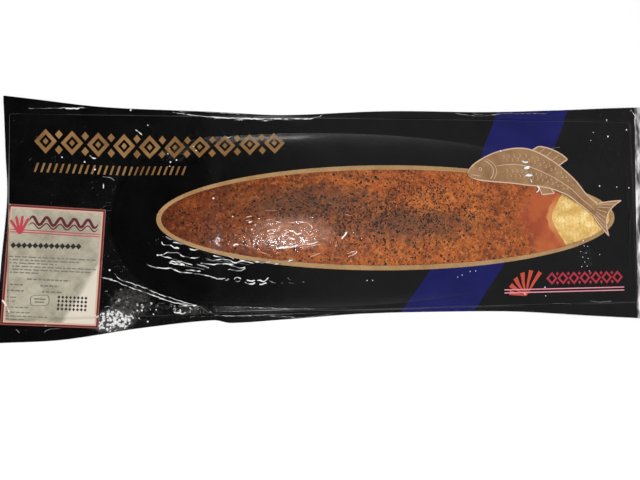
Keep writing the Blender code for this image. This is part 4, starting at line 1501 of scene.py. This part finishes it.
# %% A bold row and a block of lozenges
BOLD_COUNT, BOLD_START, BOLD_PITCH = 13, -36, 4.75
BOLD_T, BOLD_HALF_WIDTH, BOLD_HEIGHT = (17.5, 19.5), 1.3, 2.8
BLOCK_ROWS, BLOCK_COLUMNS = 4, 8
bold = []
for k in range(BOLD_COUNT):
    s, t = BOLD_START + BOLD_PITCH * k, mix(*BOLD_T, k / (BOLD_COUNT - 1))

    def form(u, v):
        return label_place((s + BOLD_HALF_WIDTH * (u + v)) * MM, (t + BOLD_HEIGHT * (v - u) / 2) * MM)

    bold.append(lay(3, 3, form, LABEL_PRINT_LIFT, label_ground))
for row in range(BLOCK_ROWS):
    for k in range(BLOCK_COLUMNS):
        x, y = label_place((7 + 3.4 * k) * MM, (-27.6 - 3.6 * row) * MM)
        bold.append(lay_lozenge(x, y, 1.35 * MM, 1.6 * MM, lift=LABEL_PRINT_LIFT, ground=label_ground))
label_print(bold, "label_bold", "ink_black", 40, 38, 38)


# %% Waves, two lines and a small fan
def header_wave(s_from, s_to, t, high, half_width, waves):
    def curve(share):
        up = t + high * np.sin(2 * np.pi * waves * share)
        return label_place(mix(s_from, s_to, share) * MM, up * MM)

    return lay_stroke(curve, half_width * MM, 90, LABEL_PRINT_LIFT, label_ground)


header = [header_wave(-24, 37, 41, 3.6, 1.3, 5), header_wave(-24, 37, 36.5, 2.4, 0.6, 5)]
label_print(header, "label_waves", "ink_wine", 92, 30, 40)
red_lines = [header_wave(-42, 41, t, 0.2, 0.45, 1) for t in (31.8, 29.6)]
for degrees in (60, 85, 110, 135):
    lean = math.radians(degrees)
    tip = (-31 + 13 * math.cos(lean), 30 + 15 * math.sin(lean))
    curve = lambda share: label_place(mix(-31, tip[0], share) * MM, mix(28, tip[1], share) * MM)
    red_lines.append(lay_stroke(curve, 1.2 * MM, 12, LABEL_PRINT_LIFT * 1.5, label_ground))
label_print(red_lines, "label_fan", "ink_crimson", 178, 60, 72)

# %% A painted glint along a fold in the paper's lower left corner
PAPER_FOLD = [(-317, -74.4), (-315.5, -76.6), (-311.6, -82.2), (-309.6, -86)]
PAPER_FOLD_HALF, PAPER_FOLD_LIFT = 0.7 * MM, 0.15 * MM


def paper_fold(share):
    at = np.array(PAPER_FOLD) * MM
    return [np.interp(share, np.linspace(0, 1, len(at)), at[:, k]) for k in (0, 1)]


# The pale stroke is a painted glint along the fold.
fold_glint = [lay_stroke(paper_fold, PAPER_FOLD_HALF, 24, PAPER_FOLD_LIFT, label_ground)]
label_print(fold_glint, "label_fold", "glint_paper", 234, 226, 210)

# %% [markdown]
# ## Sharp folds and flecks, with painted highlights
#
# Where the film was folded hard or crumpled, its folds catch the lamps as thin white lines, thick here
# and thin there. These glints are painted: drawn on a texture they would have no body, so each is a low
# half-round ridge on the film, laid along a line of points, with a little sway, and painted pale as a
# painted highlight. The smallest ones are round flecks, painted glints. How pale the painted highlight
# is at a place is kept on the mesh as an attribute.

# %% Ridges along lines
FOLD_SWAY, FOLD_STEP = 0.35 * MM, 0.6 * MM


def keep_highlight_pale(piece, pale):
    """Keep how pale the painted highlight is, from 0 to 1, at each corner of a piece."""
    kept = piece.data.attributes.new("pale", "FLOAT", "POINT")
    kept.data.foreach_set("value", np.clip(pale, 0.0, 1.0))
    return piece


def lay_fold(line, half_width, pale, lift, seed):
    """A half-round ridge along a line of points in millimetres, of uneven breadth, thin at both ends."""
    at = np.array(line, float) * MM
    run = np.concatenate([[0.0], np.cumsum(np.hypot(*np.diff(at, axis=0).T))])
    piece, u, v = squeezed_grid(max(6, math.ceil(run[-1] / FOLD_STEP)), 6)
    gone = (u + 1) / 2 * run[-1]

    def middle(way):
        return [sum(np.interp(way + step, run, at[:, k]) for step in (-MM, 0, MM)) / 3 for k in (0, 1)]

    (x, y), ahead, behind = middle(gone), middle(gone + 0.5 * MM), middle(gone - 0.5 * MM)
    dx, dy = ahead[0] - behind[0], ahead[1] - behind[1]
    long = np.maximum(np.hypot(dx, dy), 1e-9)
    apart = 0 * gone + 3 * seed * MM
    ends = np.minimum(1, 0.25 + 4 * np.minimum(u + 1, 1 - u))
    wide = half_width * MM * ends * (0.8 + 0.45 * lumps(gone, apart, 4 * MM, seed=71))
    off = wide * v + FOLD_SWAY * lumps(gone, apart, 2.6 * MM, seed=72)
    x, y = x - dy / long * off, y + dx / long * off
    crest = np.sqrt(np.maximum(1 - v * v, 0.0))
    move_corners(piece, x, y, film_surface(x, y) + lift * MM + 0.5 * wide * crest)
    return keep_highlight_pale(piece, pale * (0.75 + 0.5 * lumps(gone, apart, 3.2 * MM, seed=73)) * crest**0.6)


def lay_fleck(x, y, half_x, half_y, lift):
    piece = lay_disc(x * MM, y * MM, half_x * MM, half_y * MM, lift=lift * MM)
    flat = corners(piece)
    reach = np.hypot((flat[:, 0] / MM - x) / half_x, (flat[:, 1] / MM - y) / half_y)
    near = 1 - np.minimum(reach, 1) ** 2
    move_corners(piece, flat[:, 0], flat[:, 1], flat[:, 2] + 0.35 * half_y * MM * near)
    return keep_highlight_pale(piece, 0.3 + near)


print("a fold has a row of corners every", FOLD_STEP / MM, "mm")

# %% Where the film's folds and flecks lie, in millimetres
BRIGHT_FOLDS = [
    [(-166, -27.4), (-161.3, -30), (-156.7, -31)],
    [(-166, -42), (-157.1, -43.3), (-152, -46.4)],
    [(-167, -43.2), (-161.7, -44.7), (-154, -46)],
    [(-178.2, -36.4), (-172, -36.2)],
    [(-122.8, -59), (-118.2, -59.6)],
    [(-116.9, -60.6), (-114.3, -60.9), (-112.9, -58.7)],
    [(-108.4, -59.9), (-106.4, -57.9), (-103.3, -58.3), (-101.4, -60)],
    [(-98.3, -62.4), (-95, -64.5), (-90.7, -64.3), (-88.2, -63.2)],
    [(-96.9, -61), (-92.7, -61.9), (-88.4, -60.9)],
    [(-87, -61.5), (-83.9, -61.3), (-80.8, -62.8), (-78.5, -61.1), (-76.3, -58.6)],
    [(-85.1, -65.3), (-80.8, -64.8), (-77.7, -63.7)],
    [(-229.5, -55.7), (-219.2, -58.6)],
    [(-160.7, -84), (-151.4, -84.2), (-142.9, -84)],
    [(-164.8, -89.3), (-162.4, -90.5), (-159.6, -90.2), (-156.6, -91.9), (-153.6, -90.6)],
    [(-262.6, 102.2), (-249.2, 102.4)],
    [(-114.7, 76.6), (-111.4, 74.8), (-109, 77.2)],
    [(-240.5, 58.2), (-237, 55.4), (-233.8, 54.9)],
]
FOLDS = [
    [(-173.1, -24.2), (-171.7, -27.2), (-166, -27.4)],
    [(-172, -36.2), (-169, -34.4), (-158.3, -34.6), (-154, -37.8), (-143.5, -40.1), (-138.3, -38.7)],
    [(-175.1, -36.5), (-163, -40.2), (-151.2, -44.5), (-145.1, -45.8)],
    [
        (-133.8, -39.7), (-127.1, -42.3), (-119.5, -41), (-112, -41.9), (-106.8, -45.3), (-101.5, -42.8),
        (-89.4, -45.6),
    ],
    [(-138.4, -44.1), (-127.1, -46.2), (-118.2, -45.1), (-107.6, -46.2)],
    [(-152.1, -50.3), (-144, -51), (-137.8, -52)],
    [(-142.1, -45.5), (-136.2, -46.7), (-130.2, -49.1)],
    [(-187.9, -44.2), (-181.8, -47.4), (-172.6, -48.6), (-164.9, -48.5), (-157.5, -52.4), (-145.4, -53.4)],
    [(-145.4, -53.4), (-132, -56), (-122.9, -59.2), (-115.4, -58.9)],
    [(-113.7, -50.6), (-103.2, -52.4), (-97, -49.8)],
    [(-112.1, -46.4), (-103.1, -49.6), (-97, -49)],
    [(-107.3, -61.3), (-104.5, -62.3), (-102, -61.2)],
    [
        (-164.7, 100.2), (-152.1, 98.4), (-132.4, 95.7), (-112.8, 94.6), (-83.1, 94.2), (-32.6, 94.9),
        (-24.1, 97.7), (-19.5, 100.2),
    ],
    [(-198.5, 82.8), (-192.2, 77.3)],
    [(-227.8, 32.1), (-227.8, 26.3)],
    [(306.3, 108.9), (310.8, 105.2), (313.1, 100.5)],
]
LONG_FOLDS = [
    [(-229.5, -55.7), (-219.2, -58.6), (-204.3, -65.5), (-184.9, -72.9), (-170, -78.9)],
    [(-218.4, -52.1), (-213.2, -58.3), (-193.8, -65), (-177.3, -72.7), (-156.1, -80.1), (-145, -84)],
    [(-204.3, -65.5), (-184.9, -72.9), (-165.2, -80.7), (-143.9, -84.4)],
]
FAINT_FOLDS = [
    [(-133, -41.4), (-120, -43.4), (-104, -44.6), (-93, -47)],
    [(-152, -46.4), (-143, -48.4), (-134, -50.6)],
    [(-76, -61.7), (-72.8, -63.5), (-69.1, -64.2)],
    [(-64.8, -64.3), (-62.6, -64)],
    [(-57.7, -64.4), (-52.2, -64.8)],
    [(-58.6, -59.2), (-57.2, -61), (-55.4, -61.3)],
    [(-44.5, -63.5), (-42.2, -63.9)],
    [(115.6, 103.2), (131.5, 101.1), (150.7, 100.3)],
    [(133.6, 103), (148.5, 101.5), (159.1, 102.6), (170, 103.4), (183.6, 103.4), (214.2, 104)],
    [(-145, -84), (-140.8, -84.9), (-128.7, -93.2)],
    [(-153.6, -90.6), (-147.9, -88.6), (-140.8, -87.1)],
    [(-128.7, -93.5), (-110.1, -95.3), (-81.8, -95.3), (-43.6, -98.7), (-7.8, -95)],
    [(-159.8, 100.6), (-142.3, 101.3), (-112.8, 100.2), (-92.9, 99.1)],
    [(-295.1, 101.7), (-267, 102.5), (-241.6, 103.4)],
    [(-305.9, -101.6), (-303.9, -102.9), (-302.2, -105.2)],
    [(-281.3, -105.4), (-278.8, -103.3), (-275.9, -102.2), (-264.9, -101.7)],
    [(-227.2, -69), (-223.8, -68.2)],
    [(-227.4, -83.4), (-222.1, -82.4)],
    [(-228.5, 38), (-221.7, 37.1), (-217, 34.1)],
    [(251.6, -90), (263.7, -91.4), (277, -90.7)],
    [(211.4, -91.5), (233.6, -92.5)],
    [(213, 66.8), (226.2, 68.9)],
]
RING_FOLDS = [
    [(-169.5, -19.6), (-164.5, -22.2), (-159.8, -23.4)],
    [(-163, -24.8), (-157.6, -26.2), (-152.1, -27.2)],
    [(-148.5, -31), (-142.5, -32.4), (-138.5, -32)],
    [(-127, -37.8), (-120.5, -39.2), (-115.5, -40.6)],
    [(-113, -38), (-107.4, -41.4)],
    [(-103, -41.5), (-96, -43.5)],
    [(-90, -43.8), (-82, -45), (-74, -44.2)],
    [(-72, -46.8), (-64, -46)],
    [(-58.9, -44.6), (-51.2, -42)],
]
# On the gold fish these folds and flecks are painted glints of a lamp.
FISH_FOLDS = [
    [(182, 54), (187.2, 52), (190, 54)],
    [(184, 45), (188, 48), (191, 47.5)],
    [(184, 37.5), (189, 40), (193.3, 38.6)],
    [(190.2, 35.4), (190.8, 31)],
    [(196, 27.7), (198.7, 25.7), (196.7, 22.1), (194.3, 21.5)],
]
FISH_FLECKS = [(186.5, 52.4, 3.2, 1.1), (187, 46.4, 3.6, 1.5), (188.6, 38.6, 4.2, 1.5)]
FLECKS = [
    (-197.5, -82.2), (-193.4, -82.1), (-197.5, -87.3), (-193.5, -87.3), (-180.5, -87), (-182.9, -91.1),
    (-188.6, -98), (-222.3, -49.3), (-196.5, -94.6), (-264.5, 55.9), (-244.4, 51.6), (-235.2, 44.6),
    (-166.9, 64.2), (-168.2, 58.8), (-159.7, 51.9), (-165.3, 50.1), (-165.9, 45.9), (-144.2, 65.6),
    (-141.8, 61.2), (-203.2, 101.7), (-187, 86.7), (280.4, 97.5), (300.7, 87.5), (279.5, 80.3),
    (287.2, 27.3), (300.6, 26.5), (268.1, 28.3), (161.2, 64.3), (204.6, -83.6), (204.2, -74.9),
    (182.5, -81), (247, -28.1), (312.1, 99.9),
]
SMALL_FLECKS = [
    (239.7, -32.5), (247.7, -33.6), (251.9, -34.1), (242.9, -39.2), (249.4, -40.8), (245.1, -44.9),
    (251.5, -46.5), (247.5, -50), (244.3, -54.6), (250.5, -54.2), (252.9, -59.3), (265.2, -42.6),
    (263.3, 84.4), (260.2, 76), (108.8, -62.4), (113.4, -60.5), (121.6, -57.2), (127.4, -56.8),
    (17.4, -63.7), (22.9, -63.8), (280.8, 98.7),
]
ALL_FOLDS = BRIGHT_FOLDS + FOLDS + LONG_FOLDS + FAINT_FOLDS + RING_FOLDS + FISH_FOLDS
print("folds on the film:", len(ALL_FOLDS), "flecks:", len(FLECKS + SMALL_FLECKS + FISH_FLECKS))

# %% Lay the film's folds and flecks
FOLD_LIFT, FLECK_LIFT, SMALL_FLECK_LIFT = 0.02, 0.3, 0.28
FISH_FOLD_LIFT, FISH_FLECK_LIFT = 0.36, 0.38
FLECK_HALF, FLECK_STEP, SMALL_FLECK_HALF = 0.6, 0.12, 0.5


def painted_highlight_finish(name, base, *stops):
    """A finish whose colour, a painted highlight, goes by how pale it is kept at each corner."""
    made = finish(name, seen(*base), 0.22)
    paint(made, ramp(made, kept_value(made, "pale"), *((at, seen(*tone)) for at, tone in stops)))
    return made


# The film's folds and flecks are painted highlights: dark at their feet and white on their crests.
FOLD_HIGHLIGHT_TONES = (0.05, (14, 14, 14)), (0.4, (104, 104, 104)), (0.8, (240, 240, 238))
fold_highlight = painted_highlight_finish("fold_highlight", (120, 120, 120), *FOLD_HIGHLIGHT_TONES)
film_fold_highlights = []
for lines, half_width, pale, lift in (
    (BRIGHT_FOLDS, 0.9, 1.2, FOLD_LIFT),
    (FOLDS, 0.65, 1.0, FOLD_LIFT),
    (LONG_FOLDS, 0.45, 1.1, FOLD_LIFT),
    (FAINT_FOLDS, 0.45, 0.5, FOLD_LIFT),
    (RING_FOLDS, 0.75, 0.8, FOLD_LIFT),
    (FISH_FOLDS, 0.9, 1.2, FISH_FOLD_LIFT),
):
    for line in lines:
        film_fold_highlights.append(lay_fold(line, half_width, pale, lift, len(film_fold_highlights)))
for k, (x, y) in enumerate(FLECKS):
    half = FLECK_HALF + FLECK_STEP * (k % 4)
    film_fold_highlights.append(lay_fleck(x, y, half, half, FLECK_LIFT))
for x, y in SMALL_FLECKS:
    film_fold_highlights.append(lay_fleck(x, y, SMALL_FLECK_HALF, SMALL_FLECK_HALF, SMALL_FLECK_LIFT))
for x, y, half_x, half_y in FISH_FLECKS:
    film_fold_highlights.append(lay_fleck(x, y, half_x, half_y, FISH_FLECK_LIFT))
print_piece(film_fold_highlights, "film_fold_highlights", fold_highlight)

# %% Where the window's folds lie, in millimetres
WINDOW_BROAD_FOLDS = [
    [(-67, -32.4), (-60, -31.3), (-56.1, -31.4)],
    [(-53, -30.6), (-48.7, -29.3)],
    [(-8.6, -24.6), (-2.6, -17.6)],
]
WINDOW_BRIGHT_FOLDS = [
    [(-77.5, -16.5), (-74, -15), (-70.6, -15.4)],
    [(-76.5, -19), (-70.5, -18.2)],
    [(-78, -21.6), (-74, -21), (-70, -22)],
    [(-62, -15), (-58, -17), (-62, -19.5), (-57, -21)],
    [(-61, -24.6), (-56, -22.4), (-51.5, -24.4)],
    [(-53.5, -17), (-50, -19.5), (-45.5, -18)],
    [(-48, -21.6), (-44.5, -24.8)],
    [(-69.7, -33), (-64.9, -31.2), (-56.1, -31.4), (-48.7, -29.3), (-38.3, -28.7), (-29.3, -26.6)],
    [(-96.6, -3.4), (-93.4, -2.2), (-91, -3.2)],
    [(-97, -6.6), (-92.6, -5.6)],
    [(-94.4, -8.4), (-90.6, -7)],
    [(-108.4, -29.6), (-105.6, -27.6), (-103, -28.2)],
]
WINDOW_FOLDS = [
    [(-79.2, -6.2), (-73.4, -5.5), (-67.6, -7.8), (-63.2, -9.3)],
    [(-58.8, -8.6), (-48.5, -8), (-39.6, -8.8), (-35.2, -13.9), (-38.2, -15.4)],
    [(-66.5, -25), (-65.5, -19.6)],
    [(-77.5, -24.4), (-71.5, -24.8)],
    [(-41.5, -17), (-38, -20.5), (-34, -19)],
    [(-47.1, -31), (-35.9, -30.2), (-27.8, -28.3)],
    [(-13.9, -31.7), (-12.9, -25.7)],
    [(-3.7, -38.1), (6.9, -35.2), (5.4, -38.2), (-2.1, -41.1)],
    [(-38.2, -40.5), (-27.8, -36.9)],
    [(-35.9, -16.6), (-32.1, -15.3), (-29.3, -16.7)],
    [(-27.5, -23.2), (-19.1, -23.3)],
]
WINDOW_FLECKS = [
    (-125.6, 14.5, 1.0), (-108.3, -2.5, 0.7), (-91.2, -14.6, 0.8), (-88, -10.5, 0.6), (-84.4, -4.6, 0.7),
]
WINDOW_FAINT_FOLDS = [
    [(-79.1, 2.6), (-67.4, 2.5)],
    [(-108.6, -30.5), (-102.7, -27.7), (-91.1, -30.8), (-82.5, -35.3), (-73.7, -38.4)],
    [(-85.7, -27), (-83.9, -29.9), (-76.6, -31.7)],
    [(-64.9, -44.4), (-58.2, -43), (-51.7, -41)],
    [(-89.6, -10.5), (-86.4, -10.1)],
    [(-5.6, -1.5), (2, -3)],
    [(-26.5, -13.9), (-21.9, -16.8)],
]
WINDOW_ALL = WINDOW_BROAD_FOLDS + WINDOW_BRIGHT_FOLDS + WINDOW_FOLDS + WINDOW_FAINT_FOLDS
print("folds on the window:", len(WINDOW_ALL), "flecks:", len(WINDOW_FLECKS))

# %% Lay the window's folds and flecks
# The window's folds and flecks are painted highlights, pinkish at their feet over the flesh and white on
# their crests.
WINDOW_HIGHLIGHT_TONES = (0.05, (140, 84, 58)), (0.45, (206, 158, 134)), (0.8, (248, 238, 230))
window_highlight = painted_highlight_finish("window_highlight", (230, 200, 180), *WINDOW_HIGHLIGHT_TONES)
window_fold_highlights = []
for lines, half_width, pale in (
    (WINDOW_BROAD_FOLDS, 1.3, 1.1),
    (WINDOW_BRIGHT_FOLDS, 1.0, 1.05),
    (WINDOW_FOLDS, 0.5, 0.85),
    (WINDOW_FAINT_FOLDS, 0.4, 0.5),
):
    for line in lines:
        window_fold_highlights.append(lay_fold(line, half_width, pale, FOLD_LIFT, len(window_fold_highlights)))
for x, y, half in WINDOW_FLECKS:
    window_fold_highlights.append(lay_fleck(x, y, half, half, FLECK_LIFT))
print_piece(window_fold_highlights, "window_fold_highlights", window_highlight, "clear_film", "window_film")

# %% [markdown]
# ## Floor, light and camera
#
# The pack was photographed from almost straight above, on a white ground. The black film shows only what
# it mirrors, so the sky is kept dark at its top, where level film looks, darkest to the left, and a
# little brighter round the horizon, which the slopes and creases mirror as thin lines. Most light comes
# from one broad lamp above. The film doesn't mirror it, or the print would turn grey. One small lamp at
# the ceiling and one far and low behind the pack make the glints on the film's slopes.

# %% White floor
FLOOR_SIZE = 6.0
floor_paint = finish("floor_paint", (0.92, 0.92, 0.92), 0.7, 0.2)
deselect()
bpy.ops.mesh.primitive_plane_add(size=FLOOR_SIZE, location=(0, 0, -0.2 * MM))
floor = take("floor", floor_paint)
print("floor:", FLOOR_SIZE, "m wide")

# %% Sky: dim at the top and to the left
SKY_UP = (0.0, (0.8,) * 3), (0.12, (0.5,) * 3), (0.4, (0.28,) * 3)
DARK_X, LIGHT_X, LEFT_SHARE = -0.18, 0.16, 0.1
world = bpy.context.scene.world or bpy.data.worlds.new("sky")
bpy.context.scene.world = world
world.use_nodes = True
way = node(world, "TexCoord", {}).outputs["Generated"]
split = node(world, "SeparateXYZ", {"Vector": way})
by_height = ramp(world, split.outputs["Z"], *SKY_UP)
by_side = fade(world, split.outputs["X"], DARK_X, LIGHT_X, LEFT_SHARE)
sky = node(world, "Mix", {0: 1.0, 6: by_height, 7: by_side}, data_type="RGBA", blend_type="MULTIPLY")
background = world.node_tree.nodes["Background"]
plug(world, background, "Color", sky.outputs[2])
plug(world, background, "Strength", 1.0)
print("sky: levels", [tone[0] for _, tone in SKY_UP], "from horizon to top")


# %% Lamps
def lamp(name, stand, aim, size, power):
    deselect()
    bpy.ops.object.light_add(type="AREA", location=stand)
    made = bpy.context.object
    made.name = name
    made.data.shape = "RECTANGLE"
    made.data.size, made.data.size_y = size
    made.data.energy = power
    direction = np.array(aim) - np.array(stand)
    flat = math.hypot(direction[0], direction[1])
    turn = math.atan2(direction[1], direction[0]) - math.pi / 2
    made.rotation_euler = (math.atan2(flat, -direction[2]), 0, turn)
    print(name, power, "W")
    return made


fill = lamp("fill_lamp", stand=(0, -0.1, 2.6), aim=(0, 0, 0), size=(3.0, 2.0), power=75)
fill.visible_glossy = False
lamp("ceiling_lamp", stand=(-0.02, -0.4, 1.8), aim=(-0.06, 0, 0), size=(0.22, 0.14), power=4)
lamp("far_lamp", stand=(-0.06, 2.0, 0.22), aim=(0, 0, 0), size=(0.45, 0.12), power=1.2)

# %% Camera, close above the pack and a little to the left
CAMERA_PLACE = (-0.0995, -0.0498, 0.5812)
CAMERA_TURN = (math.radians(2.69), math.radians(-7.29), math.radians(-1.08))
CAMERA_LENS, CAMERA_NEAR = 33.75, 0.01
deselect()
bpy.ops.object.camera_add(location=CAMERA_PLACE, rotation=CAMERA_TURN)
camera = bpy.context.object
camera.data.lens = CAMERA_LENS
camera.data.clip_start = CAMERA_NEAR
bpy.context.scene.camera = camera
bpy.context.scene.view_settings.view_transform = "Standard"
print("camera:", CAMERA_LENS, "mm lens,", CAMERA_PLACE[2], "m up")
